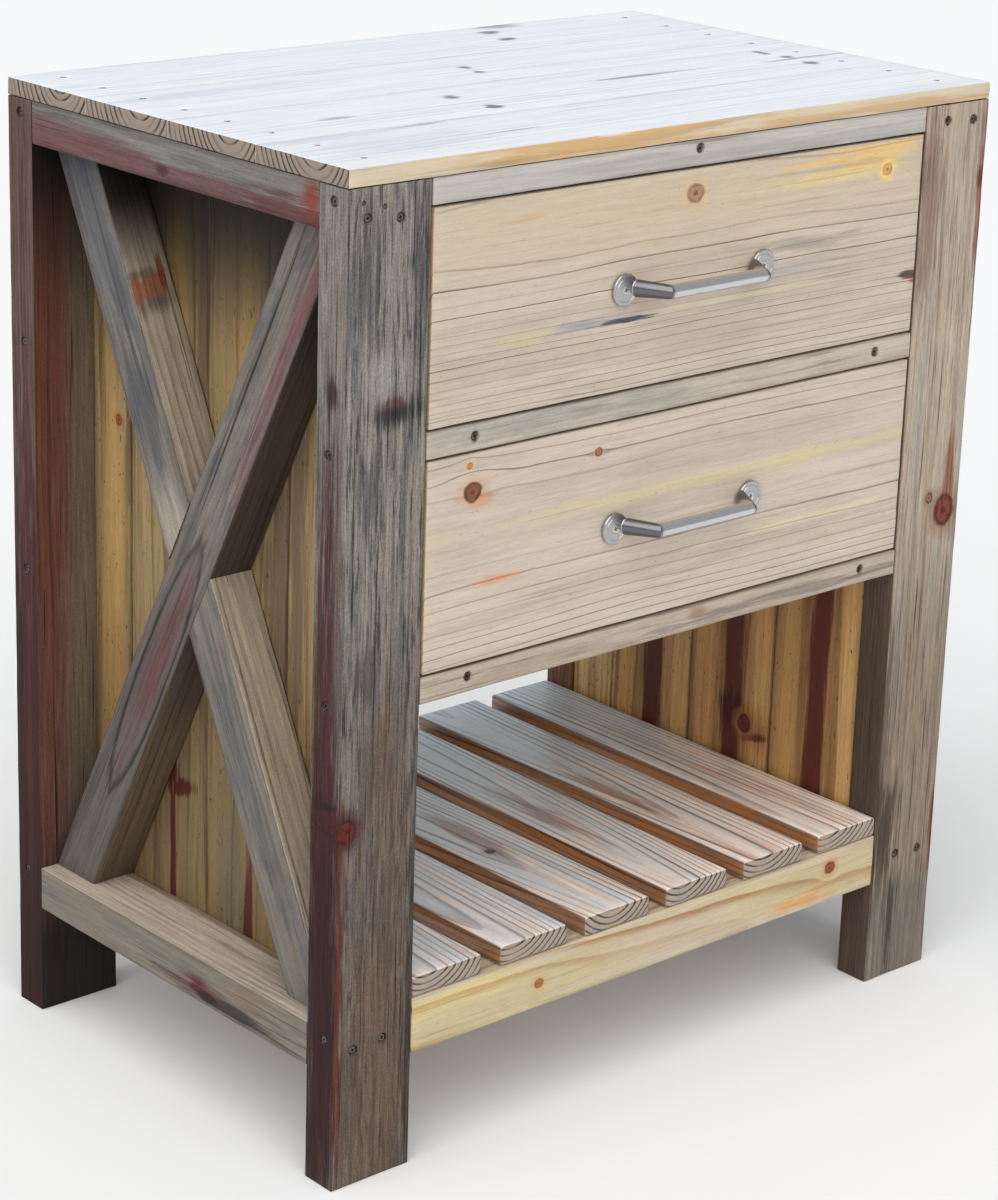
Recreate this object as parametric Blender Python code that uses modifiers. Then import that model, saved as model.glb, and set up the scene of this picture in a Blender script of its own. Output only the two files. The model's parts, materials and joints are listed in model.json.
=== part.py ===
"""A rustic bathroom vanity cabinet of plain softwood lumber, with two drawers above an open slatted shelf.

Units are metres and +Z is up. The front faces -Y, and the left side is at -X.
The origin is on the floor, at the middle of the whole object's outline, handles included.
"""

import math

import bmesh
import bpy
from mathutils import Matrix, Vector

# ---------------------------------------------------------------- driving dimensions
WIDTH = 0.779            # outer faces of the legs, and the length of the top
DEPTH = 0.492            # front of the front legs to the back of the back legs
HEIGHT = 0.914
GAP = 0.0003             # left between pieces that touch

TOP_THICK = 0.016
TOP_BOARDS = 4
LEG_WIDE = 0.088         # along X
LEG_THICK = 0.038        # along Y

# Cross rails at the front and the back: bottom and top edge of each
CROSS_RAILS = {
    "shelf": (0.108, 0.162),
    "lower": (0.4389, 0.4633),
    "middle": (0.6573, 0.6813),
    "top": (0.8745, HEIGHT - TOP_THICK),
}
SIDE_RAILS = {"bottom": (0.109, 0.1516), "top": (0.8586, HEIGHT - TOP_THICK)}
SIDE_RAIL_DEEP = 0.065   # along X, from the legs' outer face inwards

PANEL_THICK = 0.0187
PANEL_BOARD = 0.1185     # width of a whole board: the rearmost one is ripped to fit
PANEL_BOARDS = 4

BRACE_FACE_IN = 0.018    # how far a brace's outer face lies behind the legs' outer face
BRACE_FOOT = 0.062       # level width of a brace's foot on the bottom side rail
LONG_FOOT_FRONT = 0.391  # front edge of the long brace's foot, behind the front face
LONG_LEAN = 0.512        # how far the long brace comes forward for each metre up
HALF_FOOT_FRONT = 0.028  # the same for the line of the two half braces, which lean back
HALF_LEAN = 0.4995

SLATS = 6
SLAT_WIDE = 0.082
SLAT_THICK = 0.0195

RUNNER_WIDE = 0.100
RUNNER_THICK = 0.024
RUNNER_INSET = 0.090     # outer edge of a runner, from the legs' outer face
STOP_SIZE = (0.080, 0.0128, 0.018)
STOP_SINK = 0.004        # how far the stop block is let into its runner

FRONT_CLEAR = 0.0022     # around a drawer's front, inside its opening
FRONT_THICK = 0.018
BOX_CLEAR = 0.004        # between a drawer's side and the legs
SIDE_THICK = 0.015
SIDE_TALL = 0.150
SLIDE_CLEAR = 0.0005     # between a drawer's side and the runner under it
DRAWER_DEEP = 0.440      # front face to the back of the drawer
PLY_THICK = 0.006
PLY_RISE = 0.0085        # underside of the ply above the lower edge of the sides
GROOVE = 0.005           # depth of the groove that holds the ply

FOOT_RADIUS = 0.0145
FOOT_THICK = 0.0036
FOOT_SPACING = 0.1706    # centre to centre of a handle's two feet
GRIP_RADIUS = 0.0065
GRIP_STAND = 0.030       # middle of the grip in front of the drawer's face
ARM_INSET = 0.012        # middle of an arm's root, inwards from its foot's centre
ARM_RUN = 0.016          # how far an arm comes inwards on its way to the grip
ARM_ROOT = (0.0056, 0.0080)   # half thickness and half height of an arm where it leaves the foot
HANDLE_SHIFT = 0.0037    # the handles sit this far right of the middle
HANDLE_DROP = 0.0028     # and this far below the middle of the drawer's front
SCREW_RADIUS = 0.0019
SCREW_HEAD = 0.0040
SCREW_LONG = 0.0150
SCREW_HOLE = 0.0023
SCREW_TIP = 0.0003
RECESS_WIDE = 0.0011     # the cross recess: width of a slot, its length, and the cutter's thickness
RECESS_LONG = 0.0044
RECESS_CUT = 0.0022
SINK_START = 0.002       # the countersink's cutter starts this far in front of a foot, at 45 degrees
SINK_TIP = 0.0015        # and ends at this radius, inside the screw's hole

EASE = 0.0012            # rounding on the edges of planed lumber
SLAT_EASE = 0.0030
PLY_EASE = 0.0004
FOOT_EASE = 0.0006
MERGE = 0.00002          # points closer than this are one point

# ---------------------------------------------------------------- derived places
FRONT = -(DEPTH - GRIP_STAND - GRIP_RADIUS) / 2
BACK = FRONT + DEPTH
LEFT = -WIDTH / 2
RIGHT = WIDTH / 2
TOP_UNDER = HEIGHT - TOP_THICK
BAY_FRONT = FRONT + LEG_THICK + GAP      # the clear space between the front and back legs
BAY_BACK = BACK - LEG_THICK - GAP
INNER = WIDTH / 2 - LEG_WIDE             # the legs' inner faces, from the middle

# ---------------------------------------------------------------- materials
WOODS = {
    "top_wood": (0.62, 0.62, 0.60),
    "leg_wood": (0.20, 0.17, 0.15),
    "cross_rail_wood": (0.47, 0.42, 0.35),
    "shelf_rail_wood": (0.66, 0.54, 0.31),
    "side_rail_wood": (0.24, 0.17, 0.16),
    "panel_wood": (0.44, 0.29, 0.12),
    "brace_wood": (0.22, 0.21, 0.20),
    "slat_wood": (0.42, 0.38, 0.36),
    "drawer_front_wood": (0.62, 0.53, 0.41),
    "drawer_box_wood": (0.60, 0.48, 0.32),
    "runner_wood": (0.50, 0.40, 0.27),
    "plywood": (0.58, 0.44, 0.27),
}


def new_material(name, colour, roughness, metallic):
    material = bpy.data.materials.new(name)
    material.use_nodes = True
    shader = material.node_tree.nodes["Principled BSDF"]
    shader.inputs["Base Color"].default_value = (*colour, 1.0)
    shader.inputs["Roughness"].default_value = roughness
    shader.inputs["Metallic"].default_value = metallic
    return material


# ---------------------------------------------------------------- shared modelling steps
def clear_scene():
    for obj in list(bpy.data.objects):
        bpy.data.objects.remove(obj)


def new_collection(name):
    found = bpy.data.collections.new(name)
    bpy.context.scene.collection.children.link(found)
    return found


def add_object(name, mesh_maker, place, slot=None, parent=None):
    """One object from a finished bmesh. Without a material slot it is a cutter."""
    data = bpy.data.meshes.new(name)
    mesh_maker.to_mesh(data)
    mesh_maker.free()
    obj = bpy.data.objects.new(name, data)
    obj.location = place
    obj.parent = parent
    if slot:
        data.materials.append(MATERIALS[slot])
        PARTS.objects.link(obj)
    else:
        obj.hide_render = True
        obj.display_type = "WIRE"
        CUTTERS.objects.link(obj)
    return obj


def block_mesh(size):
    maker = bmesh.new()
    bmesh.ops.create_cube(maker, size=1.0)
    bmesh.ops.scale(maker, verts=maker.verts, vec=size)
    return maker


def box(name, low, high, slot=None, ease=EASE, parent=None):
    """A rectangular piece between two corners, with eased edges. The corners are relative to the parent."""
    low, high = Vector(low), Vector(high)
    obj = add_object(name, block_mesh(high - low), (low + high) / 2, slot, parent)
    if slot:
        round_edges(obj, ease)
    return obj


def round_edges(obj, width):
    bevel = obj.modifiers.new("eased_edges", "BEVEL")
    bevel.width = width
    bevel.segments = 2
    bevel.limit_method = "ANGLE"
    bevel.angle_limit = math.radians(30)


def combine(obj, other, operation):
    boolean = obj.modifiers.new(operation.lower(), "BOOLEAN")
    boolean.operation = operation
    boolean.object = other
    boolean.solver = "EXACT"


def upright_disc(name, radius, length, place, far_radius=None, sides=32, parent=None):
    """A round piece along Y, from place towards +Y, with a different far radius for a cone."""
    maker = bmesh.new()
    far_radius = radius if far_radius is None else far_radius
    stand = Matrix.Translation((0, length / 2, 0)) @ Matrix.Rotation(math.radians(90), 4, "X")
    bmesh.ops.create_cone(
        maker, cap_ends=True, segments=sides, radius1=far_radius, radius2=radius, depth=length, matrix=stand
    )
    return add_object(name, maker, place, parent=parent)


def shade_round(obj, angle=40):
    obj.data.shade_smooth()
    obj.data.set_sharp_from_angle(angle=math.radians(angle))


# ---------------------------------------------------------------- the frame
def make_top():
    pitch = (DEPTH + GAP) / TOP_BOARDS
    for i in range(TOP_BOARDS):
        near = FRONT + i * pitch
        box(f"top_board_{i + 1}", (LEFT, near, TOP_UNDER), (RIGHT, near + pitch - GAP, HEIGHT), "top_wood")


def make_legs():
    for side, x in (("left", LEFT), ("right", RIGHT - LEG_WIDE)):
        for end, y in (("front", FRONT), ("back", BACK - LEG_THICK)):
            corner = (x + LEG_WIDE, y + LEG_THICK, TOP_UNDER - GAP)
            box(f"leg_{end}_{side}", (x, y, 0), corner, "leg_wood")


def make_cross_rails():
    reach = INNER - GAP
    for level, (low, high) in CROSS_RAILS.items():
        high -= GAP if level in ("top", "shelf") else 0
        slot = "shelf_rail_wood" if level == "shelf" else "cross_rail_wood"
        for end, y in (("front", FRONT), ("back", BACK - LEG_THICK)):
            box(f"{end}_rail_{level}", (-reach, y, low), (reach, y + LEG_THICK, high), slot)


def make_side(side, sign):
    """One side: two rails laid flat, the board panel behind them, and the crossed braces in front of it."""

    def side_box(name, near, far, slot, ease=EASE):
        """Corners as (distance in from the legs' outer face, y, z), for either side of the cabinet."""
        xs = sorted(sign * (WIDTH / 2 - distance) for distance in (near[0], far[0]))
        return box(name, (xs[0], near[1], near[2]), (xs[1], far[1], far[2]), slot, ease)

    for level, (low, high) in SIDE_RAILS.items():
        high -= GAP if level == "top" else 0
        near = (0, BAY_FRONT, low)
        side_box(f"side_rail_{level}_{side}", near, (SIDE_RAIL_DEEP, BAY_BACK, high), "side_rail_wood")

    inner = SIDE_RAIL_DEEP + PANEL_THICK
    for i in range(PANEL_BOARDS):
        y0 = BAY_FRONT + i * PANEL_BOARD
        y1 = min(y0 + PANEL_BOARD - GAP, BAY_BACK)
        near = (SIDE_RAIL_DEEP + GAP, y0, SIDE_RAILS["bottom"][0])
        side_box(f"panel_{side}_{i + 1}", near, (inner, y1, TOP_UNDER - GAP), "panel_wood")

    make_braces(side, sign)


def make_braces(side, sign):
    """A long brace from top front to bottom back, crossed by two halves that butt against its edges."""
    foot_z = SIDE_RAILS["bottom"][1] + GAP
    head_z = SIDE_RAILS["top"][0] - GAP
    x = sign * (WIDTH / 2 - (BRACE_FACE_IN + SIDE_RAIL_DEEP - GAP) / 2)
    thick = SIDE_RAIL_DEEP - BRACE_FACE_IN - GAP
    bay = (
        ((0, 0, foot_z), (0, 0, -1)),
        ((0, 0, head_z), (0, 0, 1)),
        ((0, BAY_FRONT, 0), (0, -1, 0)),
        ((0, BAY_BACK, 0), (0, 1, 0)),
    )

    def brace(name, foot_front, lean, cuts):
        """A bar whose foot starts foot_front behind the front face and that leans by lean metres a metre up."""
        slope = math.atan(lean)
        middle_z = (foot_z + head_z) / 2
        middle_y = FRONT + foot_front + BRACE_FOOT / 2 + lean * (middle_z - foot_z)
        long = (head_z - foot_z) / math.cos(slope) + 2 * BRACE_FOOT
        size = (thick, BRACE_FOOT * math.cos(slope), long)
        obj = add_object(name, block_mesh(size), (x, middle_y, middle_z), "brace_wood")
        obj.rotation_euler = (-slope, 0, 0)
        for point, outwards in cuts:
            saw(obj, point, outwards)
        round_edges(obj, EASE)

    brace(f"brace_long_{side}", LONG_FOOT_FRONT, -LONG_LEAN, bay)

    # The long brace's front and back faces, as a point and a normal, with the gap left beyond each
    across = Vector((0, 1, LONG_LEAN)).normalized()
    front_face = Vector((0, FRONT + LONG_FOOT_FRONT, foot_z)) - across * GAP
    back_face = Vector((0, FRONT + LONG_FOOT_FRONT + BRACE_FOOT, foot_z)) + across * GAP
    brace(f"brace_upper_{side}", HALF_FOOT_FRONT, HALF_LEAN, (*bay, (back_face, -across)))
    brace(f"brace_lower_{side}", HALF_FOOT_FRONT, HALF_LEAN, (*bay, (front_face, across)))


def saw(obj, point, outwards):
    """Cuts an object with a plane given in the world, and throws away what lies on its outward side."""
    spin = obj.rotation_euler.to_matrix().inverted()
    local_point = spin @ (Vector(point) - obj.location)
    maker = bmesh.new()
    maker.from_mesh(obj.data)
    everything = maker.verts[:] + maker.edges[:] + maker.faces[:]
    cut = bmesh.ops.bisect_plane(
        maker, geom=everything, plane_co=local_point, plane_no=spin @ Vector(outwards), clear_outer=True
    )
    rim = [item for item in cut["geom_cut"] if isinstance(item, bmesh.types.BMEdge)]
    if rim:
        bmesh.ops.edgenet_fill(maker, edges=rim)
    bmesh.ops.recalc_face_normals(maker, faces=maker.faces)
    maker.to_mesh(obj.data)
    maker.free()


def make_shelf():
    reach = INNER - GAP
    spacing = (2 * reach - SLAT_WIDE) / (SLATS - 1)
    seat = CROSS_RAILS["shelf"][1]
    for i in range(SLATS):
        x = -reach + i * spacing
        corner = (x + SLAT_WIDE, BACK, seat + SLAT_THICK)
        box(f"shelf_slat_{i + 1}", (x, FRONT, seat), corner, "slat_wood", ease=SLAT_EASE)


def make_runners(drawer, seat):
    """A flat runner at each side, flush with the rail, with a block at its back that stops the drawer."""
    for side, sign in (("left", -1), ("right", 1)):
        outer = sign * (WIDTH / 2 - RUNNER_INSET)
        xs = sorted((outer, outer - sign * RUNNER_WIDE))
        low = (xs[0], BAY_FRONT, seat - RUNNER_THICK)
        runner = box(f"runner_{drawer}_{side}", low, (xs[1], BAY_BACK, seat), "runner_wood")
        wide, deep, tall = STOP_SIZE
        xs = sorted((sign * (INNER - BOX_CLEAR), sign * (INNER - BOX_CLEAR - wide)))
        y0 = FRONT + DRAWER_DEEP + SLIDE_CLEAR
        block = box("stop_block", (xs[0], y0, seat - STOP_SINK), (xs[1], y0 + deep, seat + tall))
        combine(runner, block, "UNION")


# ---------------------------------------------------------------- the drawers
def make_drawer(drawer, low_rail, high_rail):
    """A drawer box behind an inset front. Its parent empty is on the slide's axis, at the front face."""
    seat = CROSS_RAILS[low_rail][1]
    front_low = seat + FRONT_CLEAR
    front_high = CROSS_RAILS[high_rail][0] - FRONT_CLEAR
    slide = bpy.data.objects.new(f"slide_{drawer}", None)
    slide.location = (0, FRONT, (front_low + front_high) / 2)
    PARTS.objects.link(slide)

    def part(name, low, high, slot, ease=EASE):
        """Corners as (x, distance behind the front face, height in the cabinet)."""
        low = (low[0], low[1], low[2] - slide.location.z)
        high = (high[0], high[1], high[2] - slide.location.z)
        return box(f"drawer_{drawer}_{name}" if slot else name, low, high, slot, ease, parent=slide)

    front_reach = INNER - FRONT_CLEAR
    outer = INNER - BOX_CLEAR
    inner = outer - SIDE_THICK
    side_low = seat + SLIDE_CLEAR
    side_high = side_low + SIDE_TALL
    ply_low = side_low + PLY_RISE
    ply_high = ply_low + PLY_THICK
    box_start = FRONT_THICK + GAP

    front = part("front", (-front_reach, 0, front_low), (front_reach, FRONT_THICK, front_high), "drawer_front_wood")
    left = part("side_left", (-outer, box_start, side_low), (-inner, DRAWER_DEEP, side_high), "drawer_box_wood")
    right = part("side_right", (inner, box_start, side_low), (outer, DRAWER_DEEP, side_high), "drawer_box_wood")
    back_low = (-inner + GAP, DRAWER_DEEP - SIDE_THICK, ply_high + GAP)
    part("back", back_low, (inner - GAP, DRAWER_DEEP, side_high), "drawer_box_wood")

    ply_reach = inner + GROOVE
    ply_start = FRONT_THICK - GROOVE
    groove_low = (-ply_reach, ply_start, ply_low - GAP)
    groove_high = (ply_reach, DRAWER_DEEP + GROOVE, ply_high + GAP)
    groove = part(f"groove_{drawer}", groove_low, groove_high, None)
    for grooved in (front, left, right):
        combine(grooved, groove, "DIFFERENCE")
    low = (-ply_reach + GAP, ply_start + GAP, ply_low)
    high = (ply_reach - GAP, DRAWER_DEEP - GAP, ply_high)
    part("bottom", low, high, "plywood", ease=PLY_EASE)

    make_handle(drawer, slide, front)


def make_handle(drawer, slide, front):
    """A bent bar pull on two round feet, each held by a countersunk screw into the drawer's front."""
    middle = Vector((HANDLE_SHIFT, 0, -HANDLE_DROP))
    handle = add_object(f"handle_{drawer}", bent_bar_mesh(), middle, "satin_steel", slide)
    face = -GAP
    for side, sign in (("left", -1), ("right", 1)):
        centre = middle + Vector((sign * FOOT_SPACING / 2, 0, 0))
        foot_face = centre + Vector((0, face - FOOT_THICK, 0))

        foot = upright_disc("foot_disc", FOOT_RADIUS, FOOT_THICK, foot_face, sides=48, parent=slide)
        round_edges(foot, FOOT_EASE)
        combine(handle, foot, "UNION")

        mouth = foot_face - Vector((0, SINK_START, 0))
        sink_radius = SCREW_HEAD + GAP + SINK_START
        sink = upright_disc("countersink", sink_radius, sink_radius - SINK_TIP, mouth, SINK_TIP, parent=slide)
        bore = foot_face + Vector((0, SINK_TIP / 2, 0))
        drill = upright_disc("drill", SCREW_HOLE, SCREW_LONG + FOOT_THICK, bore, parent=slide)
        for cutter in (sink, drill):
            combine(handle, cutter, "DIFFERENCE")
        combine(front, drill, "DIFFERENCE")

        make_handle_screw(f"handle_screw_{drawer}_{side}", foot_face, slide)
    shade_round(handle)


def make_handle_screw(name, face, slide):
    """A countersunk screw turned from its profile, along +Y, with a cross recess in its head."""
    head_long = SCREW_HEAD - SCREW_RADIUS
    profile = (
        (SCREW_HEAD, 0.0),
        (SCREW_RADIUS, head_long),
        (SCREW_RADIUS, SCREW_LONG - 2 * SCREW_RADIUS),
        (SCREW_TIP, SCREW_LONG),
    )
    maker = bmesh.new()
    outline = [(0.0, 0.0), *profile, (0.0, SCREW_LONG)]
    verts = [maker.verts.new((radius, 0, -along)) for radius, along in outline]
    for first, second in zip(verts, verts[1:]):
        maker.edges.new((first, second))
    screw = add_object(name, maker, face, "satin_steel", slide)
    screw.rotation_euler = (math.radians(90), 0, 0)
    turn = screw.modifiers.new("turned", "SCREW")
    turn.steps = turn.render_steps = 24
    turn.use_merge_vertices = True
    turn.merge_threshold = MERGE
    for width, height in ((RECESS_WIDE, RECESS_LONG), (RECESS_LONG, RECESS_WIDE)):
        maker = block_mesh((width, RECESS_CUT, height))
        slot = add_object("cross_recess", maker, face, parent=slide)
        combine(screw, slot, "DIFFERENCE")
    shade_round(screw)


def bent_bar_mesh(sides=28):
    """The bar of a handle: an oval arm up from each foot, mitred into a round grip. Rings are lofted in order."""
    root_x = FOOT_SPACING / 2 - ARM_INSET
    mitre_x = root_x - ARM_RUN
    root_y = -FOOT_THICK / 2
    bend = math.atan2(GRIP_STAND + root_y, ARM_RUN)
    root_half, root_tall = ARM_ROOT
    root_slice = root_half / math.sin(bend)
    mitre_slice = GRIP_RADIUS / math.cos(bend / 2)
    rings = []
    for sign, x, y, turn, half, tall in (
        (-1, root_x, root_y, math.pi / 2, root_slice, root_tall),
        (-1, mitre_x, -GRIP_STAND, bend / 2, mitre_slice, GRIP_RADIUS),
        (1, mitre_x, -GRIP_STAND, bend / 2, mitre_slice, GRIP_RADIUS),
        (1, root_x, root_y, math.pi / 2, root_slice, root_tall),
    ):
        flat = Vector((-sign * math.sin(turn), math.cos(turn), 0))
        rings.append((Vector((sign * x, y, 0)), flat * half, Vector((0, 0, tall))))

    maker = bmesh.new()
    loops = []
    for centre, flat, upright in rings:
        loop = []
        for i in range(sides):
            angle = 2 * math.pi * i / sides
            loop.append(maker.verts.new(centre + flat * math.cos(angle) + upright * math.sin(angle)))
        loops.append(loop)
    for first, second in zip(loops, loops[1:]):
        for i in range(sides):
            j = (i + 1) % sides
            maker.faces.new((first[i], first[j], second[j], second[i]))
    maker.faces.new(loops[0])
    maker.faces.new(loops[-1])
    bmesh.ops.recalc_face_normals(maker, faces=maker.faces)
    return maker


# ---------------------------------------------------------------- build
clear_scene()
PARTS = new_collection("bathroom_vanity_cabinet")
CUTTERS = new_collection("cutters")
MATERIALS = {name: new_material(name, colour, 0.75, 0.0) for name, colour in WOODS.items()}
MATERIALS["satin_steel"] = new_material("satin_steel", (0.55, 0.54, 0.52), 0.32, 1.0)

make_top()
make_legs()
make_cross_rails()
make_side("left", -1)
make_side("right", 1)
make_shelf()
for name, low, high in (("upper", "middle", "top"), ("lower", "lower", "middle")):
    make_runners(name, CROSS_RAILS[low][1])
    make_drawer(name, low, high)
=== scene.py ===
"""The looks of a rustic bathroom vanity cabinet: weathered boards, nail and screw heads, satin steel pulls.

Every board is rebuilt around its CAD solid, with worn edges and drilled screw holes, and wears a solid wood
texture of its own: growth rings round a pith line along its grain, fibres, knots, stains and checks.
"""

import json
import math

import bmesh
import bpy
from mathutils import Matrix, Vector, noise


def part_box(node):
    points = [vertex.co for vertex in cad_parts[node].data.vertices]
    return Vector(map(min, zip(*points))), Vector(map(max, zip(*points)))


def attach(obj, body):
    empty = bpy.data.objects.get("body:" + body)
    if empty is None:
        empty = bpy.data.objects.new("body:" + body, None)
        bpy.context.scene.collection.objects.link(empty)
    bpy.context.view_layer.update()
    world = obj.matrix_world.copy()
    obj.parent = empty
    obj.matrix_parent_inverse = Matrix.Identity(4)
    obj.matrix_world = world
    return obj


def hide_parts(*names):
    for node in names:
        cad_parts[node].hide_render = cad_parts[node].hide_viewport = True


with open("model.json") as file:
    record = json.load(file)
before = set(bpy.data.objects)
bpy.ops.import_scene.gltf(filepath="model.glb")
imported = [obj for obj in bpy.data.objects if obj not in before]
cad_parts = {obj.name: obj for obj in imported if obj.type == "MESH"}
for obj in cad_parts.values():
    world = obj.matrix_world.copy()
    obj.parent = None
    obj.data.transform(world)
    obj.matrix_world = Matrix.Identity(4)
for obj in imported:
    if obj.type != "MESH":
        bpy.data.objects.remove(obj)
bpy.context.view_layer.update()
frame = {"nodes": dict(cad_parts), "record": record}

AXES = {"X": 0, "Y": 1, "Z": 2}
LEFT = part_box("leg_front_left")[0].x
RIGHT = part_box("leg_front_right")[1].x
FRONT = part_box("leg_front_left")[0].y
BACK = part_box("leg_back_left")[1].y
NODE_BODY = {node: body for body, nodes in frame["record"]["behaviour"]["bodies"].items() for node in nodes}


def srgb(*channels):
    """A display colour, 0 to 1, as the linear colour that shaders use."""
    return (*[c / 12.92 if c <= 0.04045 else ((c + 0.055) / 1.055) ** 2.4 for c in channels], 1.0)


# ---------------------------------------------------------------- shader nodes
class Shader:
    """One material, with short calls for the nodes that the woods and metals use."""

    def __init__(self, name):
        self.material = bpy.data.materials.new(name)
        self.material.use_nodes = True
        self.tree = self.material.node_tree
        self.surface = self.tree.nodes["Principled BSDF"]

    def node(self, kind, **settings):
        made = self.tree.nodes.new(kind)
        for key, value in settings.items():
            setattr(made, key, value)
        return made

    def put(self, socket, value):
        if isinstance(value, bpy.types.NodeSocket):
            self.tree.links.new(value, socket)
        else:
            socket.default_value = value

    def calc(self, operation, *values, clamp=False):
        made = self.node("ShaderNodeMath", operation=operation, use_clamp=clamp)
        for socket, value in zip(made.inputs, values):
            self.put(socket, value)
        return made.outputs[0]

    def times(self, *values, clamp=False):
        return self.calc("MULTIPLY", *values, clamp=clamp)

    def minus(self, first, second):
        return self.calc("SUBTRACT", first, second)

    def total(self, *values):
        result = values[0]
        for value in values[1:]:
            result = self.calc("ADD", result, value)
        return result

    def vector(self, operation, *values):
        made = self.node("ShaderNodeVectorMath", operation=operation)
        for socket, value in zip(made.inputs, values):
            self.put(socket, value)
        return made.outputs["Value" if operation in ("LENGTH", "DOT_PRODUCT") else "Vector"]

    def joined(self, x, y, z):
        made = self.node("ShaderNodeCombineXYZ")
        for socket, value in zip(made.inputs, (x, y, z)):
            self.put(socket, value)
        return made.outputs[0]

    def parts(self, place):
        split = self.node("ShaderNodeSeparateXYZ")
        self.put(split.inputs[0], place)
        return split.outputs

    def noise(self, place, stretch, seed, detail=2.0, roughness=0.5):
        """Smooth noise, 0 to 1, with its own scale along each axis of place."""
        scaled = self.node("ShaderNodeVectorMath", operation="MULTIPLY_ADD")
        self.put(scaled.inputs[0], place)
        self.put(scaled.inputs[1], stretch)
        self.put(scaled.inputs[2], (seed * 7.31, seed * 3.17, seed * 5.53))
        made = self.node("ShaderNodeTexNoise")
        self.put(made.inputs["Vector"], scaled.outputs[0])
        self.put(made.inputs["Scale"], 1.0)
        self.put(made.inputs["Detail"], detail)
        self.put(made.inputs["Roughness"], roughness)
        return made.outputs["Fac"]

    def step(self, value, low, high):
        """0 below low, 1 above high, and smooth between them. The other way round if low is the larger."""
        made = self.node("ShaderNodeMapRange", interpolation_type="SMOOTHSTEP")
        flip = low > high
        self.put(made.inputs["Value"], value)
        self.put(made.inputs["From Min"], min(low, high))
        self.put(made.inputs["From Max"], max(low, high))
        self.put(made.inputs["To Min"], 1.0 if flip else 0.0)
        self.put(made.inputs["To Max"], 0.0 if flip else 1.0)
        return made.outputs["Result"]

    def mix(self, amount, first, second, blend="MIX"):
        """Mixes two colours. Three numbers are a display colour, and four a linear one."""
        made = self.node("ShaderNodeMix", data_type="RGBA", blend_type=blend)
        for index, value in ((0, amount), (6, first), (7, second)):
            three_channels = isinstance(value, tuple) and len(value) == 3
            self.put(made.inputs[index], srgb(*value) if three_channels else value)
        return made.outputs[2]

    def bump(self, height, distance):
        made = self.node("ShaderNodeBump")
        made.inputs["Distance"].default_value = distance
        self.put(made.inputs["Height"], height)
        self.put(self.surface.inputs["Normal"], made.outputs[0])


# ---------------------------------------------------------------- wood
PLAIN = dict(
    # Colours of the wood between the rings, of the rings, and of a sawn end
    early=(0.80, 0.70, 0.56), line_tint=(0.70, 0.55, 0.44), end=None,
    # Growth rings: their spacing in metres, dark share, strength, unevenness, and the pith they go round
    spacing=0.006, thin=0.25, line=0.9, end_line=1.6, flat_line=0.35, vary=1.2, steady=0.3,
    pith=(0.5, 0.06), tilt=(0.0, 0.0), wave=0.004, ripple=0.0008,
    # Fibres, drying cracks, dark specks, and darker rims: worn, dirtier wood with painted shade where boards
    # meet
    fibre=0.3, fineness=1.0, grit=0.2, checks=0.4, specks=0.0, rim=0.4,
    # Patches of colour: clouds along the grain, placed knots, placed spots, and painted shade that deepens
    # along the grain
    streaks=(), knots=(), spots=(), painted_shades=(),
    rough=0.72, gloss=0.32, relief=0.25,
)


def spot(
    s, u, long, wide, tone, amount=0.8, torn=0.5,
    side=None, soft=0.6, slant=0.0, square=False, deep=False,
):
    """A patch of another colour on one side of a board, or on all of them.

    s and u are its middle along and across the board, and long and wide its half sizes. torn is how
    ragged its outline is, and soft how slowly it fades. A deep patch also colours the inside of a hole.
    """
    return dict(
        s=s, u=u, long=long, wide=wide, tone=tone, amount=amount,
        torn=torn, side=side, soft=soft, slant=slant, square=square, deep=deep,
    )


def on_side(side, *rows):
    """Several patches on one side: each row holds what spot takes, without the side."""
    return [spot(*row[:7], side, *row[7:]) for row in rows]


def painted_shade(start, stop, tone, side=None):
    """Painted shade that deepens along the grain from start to stop, multiplied over the colour: a shadow
    under a rail, or darkening towards the floor.
    """
    return dict(start=start, stop=stop, tone=tone, side=side)


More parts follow.
